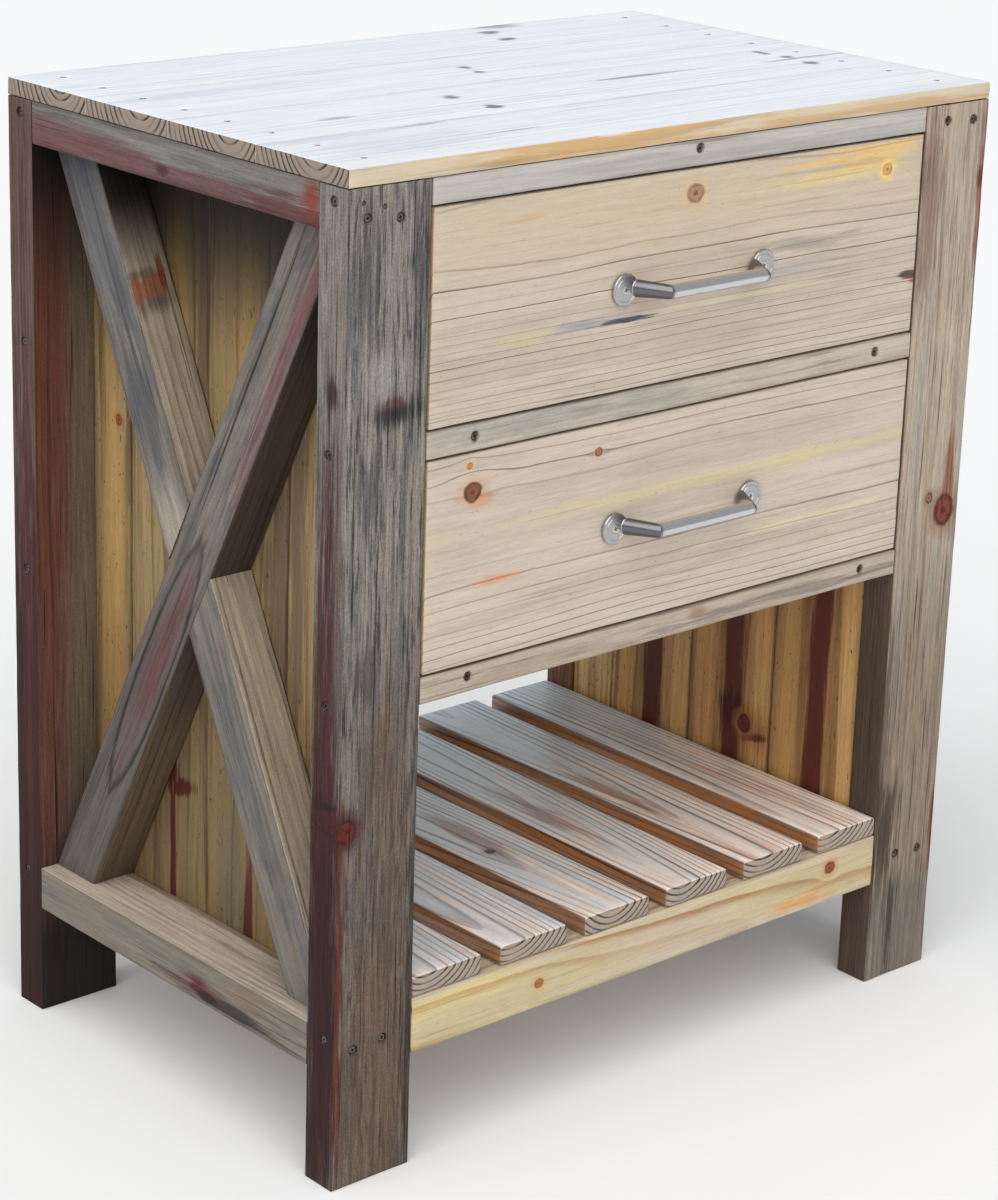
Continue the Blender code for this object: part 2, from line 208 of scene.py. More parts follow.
def wood(name, low, high, grain, normal, seed, turn=None, **look):
    """A solid wood: s runs along the grain, u across the wide face and v through it, from the low corner."""
    look = {**PLAIN, **look}
    sh = Shader(name)
    across = next(axis for axis in "XYZ" if axis not in (grain, normal))
    size = Vector(high) - Vector(low)
    wide = size[AXES[across]]

    place = sh.node("ShaderNodeTexCoord").outputs["Object"]
    if turn:
        spun = sh.node("ShaderNodeVectorRotate", rotation_type="X_AXIS")
        sh.put(spun.inputs["Vector"], place)
        sh.put(spun.inputs["Center"], turn[0])
        sh.put(spun.inputs["Angle"], turn[1])
        place = spun.outputs[0]
    from_corner = sh.parts(sh.vector("SUBTRACT", place, tuple(low)))
    s, u, v = (from_corner[AXES[axis]] for axis in (grain, across, normal))
    flat = sh.joined(s, u, v)
    facing = sh.node("ShaderNodeNewGeometry").outputs["Normal"]

    rings = ring_lines(sh, look, s, u, v, flat, wide, seed)
    close = look["fineness"]
    coarse = sh.noise(flat, (11.0 * close, 260.0 * close, 260.0 * close), seed + 4, 3.0, 0.65)
    fine = sh.noise(flat, (70.0 * close, 900.0 * close, 900.0 * close), seed + 5, 2.0, 0.7)
    grit = sh.noise(flat, (600.0, 850.0, 850.0), seed + 11, 2.0, 0.75)
    strands = sh.total(
        sh.times(coarse, 0.45),
        sh.times(fine, 0.55 - look["grit"]),
        sh.times(grit, look["grit"]),
    )
    torn = sh.noise(flat, (14.0, 130.0, 130.0), seed + 8, 3.0, 0.6)
    ragged = sh.minus(sh.calc("MULTIPLY_ADD", coarse, 0.7, torn), 0.85)

    colour = look["early"]
    for number, (tone, amount, least, soft, along, wideways) in enumerate(look["streaks"]):
        cloud = sh.noise(flat, (along, wideways, wideways), seed + 6 + 1.7 * number, 3.0, 0.62)
        patch = sh.step(cloud, least, least + soft)
        colour = sh.mix(sh.times(patch, amount), colour, tone)
    for patch in look["spots"]:
        on_edge = patch["side"] and patch["side"][1] == across
        colour = add_spot(sh, colour, patch, s, v if on_edge else u, facing, ragged, turn)
    lined = sh.times(rings, look["line"], clamp=True)
    colour = sh.mix(lined, colour, look["line_tint"], "MULTIPLY")

    along_grain = sh.vector("DOT_PRODUCT", facing, axis_vector(grain, turn))
    end_on = sh.step(sh.calc("ABSOLUTE", along_grain), 0.45, 0.75)
    if look["end"]:
        cut = sh.mix(sh.times(rings, look["end_line"], clamp=True), *look["end"])
        colour = sh.mix(end_on, colour, cut)

    raised = sh.times(rings, 0.7)
    for number, knot in enumerate(look["knots"]):
        colour, raised = add_knot(sh, colour, raised, knot, flat, seed + 20 + number, end_on)
    # Painted shade: darker along the grain, such as a shadow under a rail or darkening towards the floor
    for dirt_and_shade in look["painted_shades"]:
        amount = sh.step(s, dirt_and_shade["start"], dirt_and_shade["stop"])
        if dirt_and_shade["side"]:
            amount = sh.times(amount, facing_mask(sh, facing, dirt_and_shade["side"], turn))
        colour = sh.mix(amount, colour, dirt_and_shade["tone"], "MULTIPLY")

    # Darker rims along the board's long edges: worn, dirtier wood, and painted shade where boards meet
    inset = sh.calc("MINIMUM", u, sh.minus(wide, u))
    rim = sh.step(sh.calc("MULTIPLY_ADD", ragged, 0.005, inset), 0.0035, 0.0)
    colour = sh.mix(sh.times(rim, look["rim"]), colour, (0.30, 0.25, 0.22, 1.0), "MULTIPLY")

    swing = sh.calc("MULTIPLY_ADD", sh.minus(strands, 0.5), look["fibre"] * 6.0, 1.0)
    colour = sh.mix(1.0, colour, sh.joined(swing, swing, swing), "MULTIPLY")
    split_mark = sh.step(sh.noise(flat, (7.0, 420.0, 420.0), seed + 9, 1.0), 0.66, 0.74)
    split_mark = sh.times(split_mark, look["checks"])
    if look["specks"]:
        dots = sh.step(sh.noise(flat, (150.0, 420.0, 420.0), seed + 10, 1.0), 0.70, 0.76)
        split_mark = sh.calc("MAXIMUM", split_mark, sh.times(dots, look["specks"]))
    colour = sh.mix(split_mark, colour, (0.10, 0.08, 0.075, 1.0), "MULTIPLY")

    sh.put(sh.surface.inputs["Base Color"], colour)
    sh.put(sh.surface.inputs["Roughness"], sh.calc("MULTIPLY_ADD", strands, 0.22, look["rough"] - 0.11))
    sh.surface.inputs["Specular IOR Level"].default_value = look["gloss"]
    height = sh.total(raised, sh.times(strands, 0.9), sh.times(split_mark, -1.2))
    sh.bump(height, look["relief"] * 0.001)
    return sh.material


def ring_lines(sh, look, s, u, v, flat, wide, seed):
    """How much a point lies in dark latewood, 0 to 1: thin lines round a pith, parted by the knots."""
    for knot in look["knots"]:
        ds = sh.minus(s, knot["s"])
        du = sh.minus(u, knot["u"])
        along = sh.calc("DIVIDE", ds, knot["radius"] * 3.6)
        sideways = sh.calc("DIVIDE", du, knot["radius"] * 2.2)
        far = sh.vector("LENGTH", sh.joined(along, sideways, 0.0))
        pull = sh.calc("EXPONENT", sh.times(sh.times(far, far), -1.0))
        u = sh.minus(u, sh.times(sh.times(du, pull), 0.93))
    drift = sh.minus(sh.noise(flat, (2.4, 9.0, 9.0), seed, 1.0), 0.5)
    ripple = sh.minus(sh.noise(flat, (15.0, 70.0, 70.0), seed + 1, 2.0), 0.5)
    sideways = sh.calc("MULTIPLY_ADD", s, look["tilt"][0], sh.minus(u, look["pith"][0] * wide))
    inwards = sh.calc("MULTIPLY_ADD", s, look["tilt"][1], sh.minus(v, look["pith"][1]))
    straight = sh.vector("LENGTH", sh.joined(sideways, inwards, 0.0))
    slope = sh.calc("ABSOLUTE", sh.calc("DIVIDE", sideways, straight))
    radius = sh.total(
        straight,
        sh.times(drift, look["wave"] * 2),
        sh.times(ripple, look["ripple"] * 2),
    )
    uneven = sh.noise(sh.joined(radius, 0.0, 0.0), (45.0, 1.0, 1.0), seed + 2, 1.0)
    ring = sh.calc("MULTIPLY_ADD", uneven, look["vary"], sh.calc("DIVIDE", radius, look["spacing"]))
    part = sh.calc("FRACT", ring)
    each = sh.node("ShaderNodeTexWhiteNoise", noise_dimensions="1D")
    sh.put(each.inputs["W"], sh.calc("FLOOR", ring))
    weight = sh.calc("MULTIPLY_ADD", each.outputs["Value"], 0.7, 0.3)
    fade = sh.step(sh.noise(flat, (5.0, 40.0, 40.0), seed + 3, 2.0), 0.30, 0.60)
    fade = sh.calc("MULTIPLY_ADD", fade, 1.0 - look["steady"], look["steady"])
    thin = look["thin"]
    rise = sh.step(part, 1.0 - 2.4 * thin, 1.0 - 0.45 * thin)
    fall = sh.step(part, 1.0, 1.0 - 0.3 * thin)
    dark = sh.times(rise, fall)
    crisp = sh.calc("MULTIPLY_ADD", sh.step(slope, 0.02, 0.5), 1.0 - look["flat_line"], look["flat_line"])
    return sh.times(sh.times(dark, crisp), sh.times(weight, fade))


def axis_vector(side, turn):
    """The unit vector of a side such as Y or -X. A turned board's axes turn with it."""
    axis = Vector([1.0 if axis == side[-1] else 0.0 for axis in "XYZ"]) * (-1 if side[0] == "-" else 1)
    if turn:
        axis = Matrix.Rotation(-turn[1], 3, "X") @ axis
    return tuple(axis)


def facing_mask(sh, facing, side, turn):
    """1 on the faces that look along side, such as -X."""
    return sh.step(sh.vector("DOT_PRODUCT", facing, axis_vector(side, turn)), 0.55, 0.85)


def add_spot(sh, colour, patch, s, across, facing, ragged, turn):
    du = sh.calc("DIVIDE", sh.minus(across, patch["u"]), patch["wide"])
    ds = sh.calc("DIVIDE", sh.minus(s, patch["s"]), patch["long"])
    if patch["slant"]:
        ds = sh.calc("MULTIPLY_ADD", du, patch["slant"], ds)
    if patch["square"]:
        far = sh.calc("MAXIMUM", sh.calc("ABSOLUTE", ds), sh.calc("ABSOLUTE", du))
    else:
        far = sh.vector("LENGTH", sh.joined(ds, du, 0.0))
    outline = sh.calc("MULTIPLY_ADD", ragged, patch["torn"] * 2.4, far)
    mask = sh.step(outline, 1.0 + patch["soft"] / 2, 1.0 - patch["soft"])
    mask = sh.times(mask, patch["amount"])
    if patch["side"] and not patch["deep"]:
        mask = sh.times(mask, facing_mask(sh, facing, patch["side"], turn))
    return sh.mix(mask, colour, patch["tone"])


def knot_at(s, u, radius, heart, halo, ink=0.8, glow=0.55):
    """A round knot: its place, size and colours, how dark its rim is and how strong the glow round it."""
    return dict(s=s, u=u, radius=radius, heart=heart, halo=halo, ink=ink, glow=glow)


def add_knot(sh, colour, raised, knot, flat, seed, end_on):
    radius = knot["radius"]
    s, u, _ = sh.parts(flat)
    wobble = sh.minus(sh.noise(flat, (130.0, 130.0, 130.0), seed, 3.0, 0.6), 0.5)
    ds = sh.calc("DIVIDE", sh.minus(s, knot["s"]), radius * 1.15)
    du = sh.calc("DIVIDE", sh.minus(u, knot["u"]), radius)
    far = sh.calc("MULTIPLY_ADD", wobble, 0.9, sh.vector("LENGTH", sh.joined(ds, du, 0.0)))
    side_on = sh.minus(1.0, end_on)
    halo = sh.times(sh.step(far, 2.5, 0.9), knot["glow"])
    colour = sh.mix(sh.times(halo, side_on), colour, knot["halo"])
    inside = sh.times(sh.step(far, 1.10, 0.80), side_on)
    rings = sh.calc("POWER", sh.calc("FRACT", sh.times(far, 3.3)), 2.0)
    body = sh.mix(sh.times(rings, 0.5), knot["heart"], (0.50, 0.38, 0.30, 1.0), "MULTIPLY")
    body = sh.mix(sh.step(far, 0.30, 0.08), body, (0.55, 0.42, 0.36, 1.0), "MULTIPLY")
    colour = sh.mix(inside, colour, body)
    edge = sh.times(sh.step(far, 0.66, 0.96), sh.step(far, 1.24, 1.0))
    broken = sh.calc("MULTIPLY_ADD", wobble, 2.4, knot["ink"])
    edge = sh.times(sh.times(edge, broken, clamp=True), side_on)
    colour = sh.mix(edge, colour, (0.28, 0.19, 0.14, 1.0), "MULTIPLY")
    raised = sh.minus(raised, sh.times(edge, 1.2))
    return colour, raised


# ---------------------------------------------------------------- board meshes
EDGE_BAND = 0.004        # how near two faces a point counts as lying on the edge between them
WAVE_DEPTH = 0.00025     # how deep the long waves of a sawn face are


def split_along(maker, axis, length, pitch):
    """Cuts every edge that runs along an axis into equal lengths of about pitch."""
    cuts = max(int(round(length / pitch)) - 1, 0)
    edges = [e for e in maker.edges if abs((e.verts[0].co - e.verts[1].co)[axis]) > length * 0.9]
    if cuts:
        bmesh.ops.subdivide_edges(maker, edges=edges, cuts=cuts, use_grid_fill=True)


def plank(low, high, grain, ease, pitch=0.014):
    """A board's block, with enough faces to take wear, and rounded edges."""
    low, high = Vector(low), Vector(high)
    size = high - low
    maker = bmesh.new()
    bmesh.ops.create_cube(maker, size=1.0)
    bmesh.ops.scale(maker, verts=maker.verts, vec=size)
    bmesh.ops.translate(maker, verts=maker.verts, vec=(low + high) / 2)
    for axis in range(3):
        split_along(maker, axis, size[axis], pitch if axis == AXES[grain] else pitch * 0.8)
    corners = [e for e in maker.edges if len(e.link_faces) == 2 and e.calc_face_angle() > 1.0]
    bmesh.ops.bevel(maker, geom=corners, offset=ease, segments=3, profile=0.5, affect="EDGES")
    return maker


def wear(maker, low, high, grain, seed, rough):
    """Presses the surface in by small amounts: long waves on the faces, and nicks along the edges."""
    low, high = Vector(low), Vector(high)
    centre = (low + high) / 2
    g = AXES[grain]
    for vert in maker.verts:
        co = vert.co
        gaps = [min(co[i] - low[i], high[i] - co[i]) for i in range(3)]
        near_edge = sum(gap < EDGE_BAND for gap in gaps) >= 2
        stretched = Vector([co[i] * (7 if i == g else 40) for i in range(3)]) + Vector((seed * 3.7, seed, 0))
        depth = WAVE_DEPTH * (0.5 + noise.noise(stretched))
        if near_edge:
            closer = Vector([co[i] * (30 if i == g else 90) for i in range(3)]) + Vector((0, seed, seed))
            depth += rough * max(0.0, noise.noise(closer) + 0.15)
        for i in range(3):
            if gaps[i] < EDGE_BAND:
                co[i] += math.copysign(depth, centre[i] - co[i])


def saw(maker, point, outwards):
    """Cuts a mesh with a plane, drops what lies on its outward side and closes the cut."""
    everything = maker.verts[:] + maker.edges[:] + maker.faces[:]
    cut = bmesh.ops.bisect_plane(maker, geom=everything, plane_co=point, plane_no=outwards, clear_outer=True)
    rim = [item for item in cut["geom_cut"] if isinstance(item, bmesh.types.BMEdge)]
    if rim:
        bmesh.ops.edgenet_fill(maker, edges=rim)


def new_object(name, maker, material=None):
    """An object in the scene with the maker's shape."""
    data = bpy.data.meshes.new(name)
    maker.to_mesh(data)
    maker.free()
    if material:
        data.materials.append(material)
    made = bpy.data.objects.new(name, data)
    bpy.context.scene.collection.objects.link(made)
    return made


def finish_piece(name, maker, material, node, angle=32):
    """Makes the object that stands for a CAD node and moves with its body."""
    bmesh.ops.recalc_face_normals(maker, faces=maker.faces)
    piece = new_object(name, maker, material)
    piece.data.shade_smooth()
    piece.data.set_sharp_from_angle(angle=math.radians(angle))
    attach(piece, NODE_BODY[node])
    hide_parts(node)
    return piece


def carve(piece, maker, operation="DIFFERENCE"):
    """Applies a Boolean with the maker's closed shapes, and leaves a plain mesh."""
    tool = new_object("cutter", maker)
    step = piece.modifiers.new("carve", "BOOLEAN")
    step.operation = operation
    step.object = tool
    step.solver = "EXACT"
    ready = piece.evaluated_get(bpy.context.evaluated_depsgraph_get())
    carved = bpy.data.meshes.new_from_object(ready)
    piece.modifiers.clear()
    piece.data = carved
    bpy.data.objects.remove(tool)


def skin(maker, rings):
    """Joins a row of vertex rings into one closed surface, with a cap at each end."""
    for first, second in zip(rings, rings[1:]):
        for i in range(len(first)):
            j = (i + 1) % len(first)
            maker.faces.new((first[i], first[j], second[j], second[i]))
    maker.faces.new(reversed(rings[0]))
    maker.faces.new(rings[-1])


def rod(maker, place, outwards, radii, depths, sides=20):
    """Adds a closed turned shape: a radius at each depth along outwards from place."""
    spin = Vector(outwards).to_track_quat("Z", "Y").to_matrix()
    rings = []
    for radius, depth in zip(radii, depths):
        ring = []
        for i in range(sides):
            turn = 2 * math.pi * i / sides
            corner = Vector((radius * math.cos(turn), radius * math.sin(turn), depth))
            ring.append(maker.verts.new(Vector(place) + spin @ corner))
        rings.append(ring)
    skin(maker, rings)


# ---------------------------------------------------------------- frame screws
HEAD_RADIUS = 0.0033
HEAD_DEPTH = 0.0012
HOLE_RADIUS = 0.0042
HOLE_DEPTH = 0.0042
SMALL_SIZE = 0.6         # the share of those sizes that a top plank's small screw has, with a plain head
NAIL_SIZE = 0.45
SCREWS = {}


def drive_screw(node, place, outwards, size=1.0):
    """Notes a screw for a board: its hole is cut when the board is made, and its head is made last."""
    SCREWS.setdefault(node, []).append((Vector(place), Vector(outwards), size))


def drill_holes(piece, node):
    if node not in SCREWS:
        return
    maker = bmesh.new()
    for place, outwards, size in SCREWS[node]:
        radii = [HOLE_RADIUS * size * share for share in (0.9, 0.95, 1.25, 1.4)]
        rod(maker, place, outwards, radii, (-HOLE_DEPTH * size, -0.0009, 0.0004, 0.002))
    bmesh.ops.recalc_face_normals(maker, faces=maker.faces)
    carve(piece, maker)


def plan_screws():
    """The screws that hold the frame: through the legs into the rails, and through the top planks."""
    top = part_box("top_board_1")[1].z
    sides = (("left", 1, LEFT), ("right", -1, RIGHT))
    for end, face, out in (("front", FRONT, -1), ("back", BACK, 1)):
        for side, sign, edge in sides:
            leg = f"leg_{end}_{side}"
            upper = ((0.021, 0.872), (0.055, 0.869)) if side == "left" else ((0.021, 0.880), (0.057, 0.882))
            for across, height in (*upper, (0.055, 0.134), (0.022, 0.132)):
                drive_screw(leg, (edge + sign * across, face, height), (0, out, 0))
            if side == "left":
                for across, height in ((0.016, 0.885), (0.038, 0.880)):
                    drive_screw(leg, (edge + sign * across, face, height), (0, out, 0), NAIL_SIZE)
            for inwards, height in ((0.019, 0.885), (0.021, 0.672), (0.020, 0.452), (0.015, 0.143)):
                drive_screw(leg, (edge, face - out * inwards, height), (-sign, 0, 0))
        for level, height in (("middle", 0.670), ("lower", 0.4535)):
            for x in (LEFT + 0.142, RIGHT - 0.138):
                drive_screw(f"{end}_rail_{level}", (x, face, height), (0, out, 0))
        drive_screw(f"{end}_rail_top", (LEFT + 0.394, face, 0.890), (0, out, 0))
    for i in range(1, 5):
        low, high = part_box(f"top_board_{i}")
        for share in (0.26, 0.76):
            for x in (LEFT + 0.041, RIGHT - 0.041):
                place = (x, low.y + share * (high.y - low.y), top)
                drive_screw(f"top_board_{i}", place, (0, 0, 1), SMALL_SIZE)


def make_screw_heads(material):
    """One countersunk head in each hole, with a cross in all but the small screws and nails, all in one piece
    that stays with the frame.
    """
    maker = bmesh.new()
    for holes in SCREWS.values():
        for place, outwards, size in holes:
            head = HEAD_RADIUS * size
            sunk = -HEAD_DEPTH * size
            depths = (sunk - 0.0020, sunk - 0.0010, sunk - 0.0001, sunk)
            rod(maker, place, outwards, (head * 0.4, head * 0.97, head, head * 0.92), depths, 16)
    bmesh.ops.recalc_face_normals(maker, faces=maker.faces)
    piece = new_object("frame_screw_heads", maker, material)
    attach(piece, "frame")
    slots = bmesh.new()
    for holes in SCREWS.values():
        for place, outwards, size in holes:
            if size > SMALL_SIZE:
                cross_slot(slots, place - outwards * HEAD_DEPTH * size, outwards, HEAD_RADIUS * size)
    carve(piece, slots)
    return piece


def cross_slot(maker, place, outwards, head):
    """A cross-shaped recess, as one closed twelve-sided shape."""
    spin = Vector(outwards).to_track_quat("Z", "Y").to_matrix()
    arm, half = head * 0.62, head * 0.16
    corners = []
    for quarter in range(4):
        turn = Matrix.Rotation(quarter * math.pi / 2 + 0.4, 3, "Z")
        corners += [turn @ Vector(corner) for corner in ((arm, -half, 0), (arm, half, 0), (half, half, 0))]
    rings = []
    for depth, share in ((-head * 0.5, 0.75), (head * 0.2, 1.0)):
        rings.append([maker.verts.new(place + spin @ (c * share + Vector((0, 0, depth)))) for c in corners])
    skin(maker, rings)


# ---------------------------------------------------------------- metals
def steel(name, base, rough, dirt_and_shade=None, brush=(250.0, 4000.0, 4000.0), uneven=0.22, dark_arm_reflection=None):
    sh = Shader(name)
    place = sh.node("ShaderNodeTexCoord").outputs["Object"]
    lines = sh.noise(place, brush, 3.0, 2.0)
    cloud = sh.noise(place, (90.0, 90.0, 90.0), 9.0, 3.0)
    tone = sh.calc("MULTIPLY_ADD", sh.calc("ADD", lines, cloud), uneven, 1.0 - uneven)
    colour = sh.mix(1.0, base, sh.joined(tone, tone, tone), "MULTIPLY")
    if dirt_and_shade:
        colour = sh.mix(sh.times(sh.step(cloud, 0.45, 0.62), 0.7), colour, dirt_and_shade)
    # Painted reflection: outside the mitres the arms are darker, and darker still away from the feet, as if
    # they mirrored darker surroundings
    if dark_arm_reflection:
        x, y, _ = sh.parts(place)
        outwards = sh.calc("ABSOLUTE", sh.minus(x, dark_arm_reflection["middle"]))
        on_arm = sh.step(outwards, dark_arm_reflection["mitre"] - 0.0015, dark_arm_reflection["mitre"] + 0.0035)
        off_foot = sh.step(y, dark_arm_reflection["base"] - 0.004, dark_arm_reflection["base"] - 0.0048)
        colour = sh.mix(on_arm, colour, (0.86, 0.85, 0.85), "MULTIPLY")
        colour = sh.mix(sh.times(on_arm, off_foot), colour, (0.64, 0.64, 0.66), "MULTIPLY")
    sh.put(sh.surface.inputs["Base Color"], colour)
    sh.put(sh.surface.inputs["Roughness"], sh.calc("MULTIPLY_ADD", lines, uneven, rough - uneven / 2))
    sh.surface.inputs["Metallic"].default_value = 1.0
    sh.bump(lines, 0.0001 * uneven)
    return sh.material


# ---------------------------------------------------------------- the boards' looks
CREAM = (0.785, 0.727, 0.662)
YELLOW = (0.87, 0.79, 0.53)
HEART_RED = (0.34, 0.13, 0.11)
KNOT_BROWN = (0.58, 0.42, 0.3)
# A pale blue for painted reflection of the sky
PAINTED_SKY_REFLECTION = (0.8, 0.84, 0.88)

# The top's pale blue-grey is partly the weathered wood and partly a painted reflection of the bright sky at a
# grazing angle
TOP = dict(
    early=(0.9, 0.915, 0.93), line_tint=(0.78, 0.83, 0.89), spacing=0.0066, thin=0.22, line=0.55,
    fibre=0.08, rough=0.55, relief=0.12, checks=0.25, rim=0.25, wave=0.006,
    streaks=(((0.86, 0.89, 0.92), 0.5, 0.47, 0.14, 1.6, 40.0),),
    end=((0.57, 0.51, 0.46), (0.2, 0.16, 0.14)),
)
WEATHERED = dict(
    early=(0.52, 0.495, 0.465), line_tint=(0.66, 0.63, 0.61), spacing=0.0034, thin=0.32, line=0.6,
    fibre=0.66, fineness=1.4, grit=0.38, rough=0.84, relief=0.5, checks=0.8, rim=0.4,
    streaks=(
        ((0.565, 0.525, 0.48), 0.4, 0.5, 0.14, 9.0, 150.0),
        ((0.36, 0.365, 0.375), 0.65, 0.49, 0.12, 7.0, 75.0),
        ((0.22, 0.22, 0.235), 0.75, 0.55, 0.08, 24.0, 330.0),
    ),
    end=((0.42, 0.38, 0.34), (0.2, 0.16, 0.14)),
)
DRAWER = dict(
    early=CREAM, line_tint=(0.4, 0.25, 0.19), spacing=0.0056, thin=0.07, line=1.0, flat_line=0.0,
    fibre=0.13, rough=0.62, relief=0.15, checks=0.22, rim=0.1, wave=0.006, ripple=0.0005,
    vary=1.8, steady=0.6, specks=0.2,
    streaks=(
        ((0.735, 0.675, 0.62), 0.75, 0.46, 0.18, 2.2, 24.0),
        ((0.8, 0.745, 0.67), 0.6, 0.51, 0.14, 4.0, 45.0),
        ((0.68, 0.64, 0.605), 0.4, 0.55, 0.12, 9.0, 90.0),
    ),
    end=((0.74, 0.64, 0.5), (0.42, 0.29, 0.19)),
)
RAIL = dict(
    early=(0.74, 0.69, 0.63), line_tint=(0.68, 0.58, 0.5), spacing=0.0055, thin=0.2, line=0.9,
    fibre=0.24, rough=0.74, relief=0.2, checks=0.4, rim=0.3, wave=0.008,
    streaks=(
        ((0.62, 0.58, 0.54), 0.75, 0.5, 0.12, 1.6, 60.0),
        ((0.45, 0.42, 0.4), 0.6, 0.58, 0.1, 4.0, 160.0),
    ),
    end=((0.62, 0.54, 0.44), (0.36, 0.26, 0.19)),
)
SHELF_RAIL = dict(
    early=(0.765, 0.705, 0.555), line_tint=(0.8, 0.62, 0.44), spacing=0.01, thin=0.24, line=0.85,
    fibre=0.18, rough=0.66, relief=0.18, checks=0.2, rim=0.2, wave=0.016, ripple=0.0015, specks=0.2,
    streaks=(
        ((0.78, 0.73, 0.65), 0.8, 0.5, 0.1, 1.8, 40.0),
        ((0.68, 0.62, 0.5), 0.5, 0.58, 0.1, 3.0, 70.0),
    ),
    end=((0.74, 0.64, 0.48), (0.44, 0.3, 0.19)),
)
# The slats' very pale colour is partly the bleached wood and partly a painted sheen on their tops
SLAT = dict(
    early=(0.97, 0.91, 0.865), line_tint=(0.44, 0.36, 0.34), spacing=0.006, thin=0.19, line=1.0, end_line=3.0,
    fibre=0.2, rough=0.3, gloss=1.0, relief=0.3, checks=0.3, rim=0.15, wave=0.004, ripple=0.0005,
    vary=0.8, steady=0.6,
    streaks=(
        ((0.84, 0.84, 0.85), 0.75, 0.48, 0.14, 2.0, 34.0),
        ((0.82, 0.69, 0.62), 0.65, 0.54, 0.12, 3.0, 60.0),
    ),
    end=((0.62, 0.55, 0.48), (0.1, 0.07, 0.06)),
)
PANEL = dict(
    early=(0.61, 0.52, 0.365), line_tint=(0.64, 0.52, 0.4), spacing=0.015, thin=0.14, line=0.7, fibre=0.26,
    fineness=1.2, rough=0.66, relief=0.2, checks=0.35, rim=0.8, wave=0.012, vary=2.5,
    tilt=(0.004, 0.0), pith=(0.47, 0.03),
    streaks=(
        ((0.56, 0.485, 0.34), 0.8, 0.48, 0.14, 1.4, 22.0),
        ((0.45, 0.38, 0.29), 0.6, 0.54, 0.12, 2.0, 34.0),
        ((0.4, 0.32, 0.23), 0.4, 0.58, 0.08, 6.0, 150.0),
    ),
    end=((0.55, 0.42, 0.24), (0.3, 0.2, 0.12)),
)
BRACE = dict(
    early=(0.445, 0.42, 0.39), line_tint=(0.64, 0.61, 0.6), spacing=0.008, thin=0.22, line=0.7,
    fibre=0.42, grit=0.35, rough=0.82, relief=0.35, checks=0.5, rim=0.4, tilt=(0.02, 0.0),
    streaks=(
        ((0.365, 0.365, 0.37), 0.8, 0.49, 0.12, 13.0, 34.0),
        ((0.54, 0.5, 0.455), 0.6, 0.54, 0.1, 6.0, 60.0),
        ((0.26, 0.255, 0.26), 0.5, 0.6, 0.1, 14.0, 130.0),
    ),
    end=((0.45, 0.4, 0.34), (0.24, 0.19, 0.15)),
)
SIDE_RAIL = dict(
    early=(0.475, 0.46, 0.435), line_tint=(0.66, 0.6, 0.58), spacing=0.006, thin=0.25, line=0.8,
    fibre=0.45, grit=0.3, rough=0.8, relief=0.35, checks=0.5, rim=0.3,
    streaks=(((0.4, 0.39, 0.38), 0.7, 0.5, 0.12, 6.0, 80.0),),
    end=((0.45, 0.38, 0.33), (0.24, 0.18, 0.15)),
)
BOX_PINE = dict(
    early=(0.84, 0.74, 0.58), line_tint=(0.74, 0.6, 0.46), wave=0.008,
    streaks=(((0.78, 0.68, 0.54), 0.8, 0.5, 0.12, 2.0, 50.0),),
    end=((0.74, 0.62, 0.46), (0.46, 0.32, 0.2)),
)
PLY = dict(
    early=(0.8, 0.68, 0.5), line_tint=(0.78, 0.64, 0.5), spacing=0.02, line=0.7, wave=0.03,
    streaks=(((0.74, 0.62, 0.45), 0.8, 0.5, 0.12, 2.0, 30.0),),
    end=((0.66, 0.52, 0.36), (0.42, 0.29, 0.18)),
)


def screw_marks(node, low, grain, normal):
    """The marks in and round each screw hole of a board: dark painted shade inside the hole with dirt round
    it, and blue-grey on the top.
    """
    across = next(axis for axis in "XYZ" if axis not in (grain, normal))
    marks = []
    for place, outwards, size in SCREWS.get(node, []):
        axis = next(axis for axis in "XYZ" if abs(outwards[AXES[axis]]) > 0.5)
        sideways = normal if axis == across else across
        side = ("-" if outwards[AXES[axis]] < 0 else "+") + axis
        where = place - Vector(low)
        reach = HOLE_RADIUS * size * 1.25
        # Near black on the sides: painted shade inside the hole and dirt round it
        tone = (0.42, 0.46, 0.52) if side == "+Z" else (0.12, 0.11, 0.1)
        middle = (where[AXES[grain]], where[AXES[sideways]])
        marks.append(spot(*middle, reach, reach, tone, 0.85, 0.25, side, 0.3, deep=True))
    return tuple(marks)


def board(node, grain, normal, seed, ease=0.001, nick=0.0003, **look):
    """Rebuilds one rectangular CAD board with worn edges and its own wood."""
    low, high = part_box(node)
    look["spots"] = (*look.get("spots", ()), *screw_marks(node, low, grain, normal))
    maker = plank(low, high, grain, ease)
    wear(maker, low, high, grain, seed, nick)
    material = wood(f"{node}_wood", low, high, grain, normal, seed, **look)
    piece = finish_piece(f"{node}_board", maker, material, node)
    drill_holes(piece, node)
    return piece


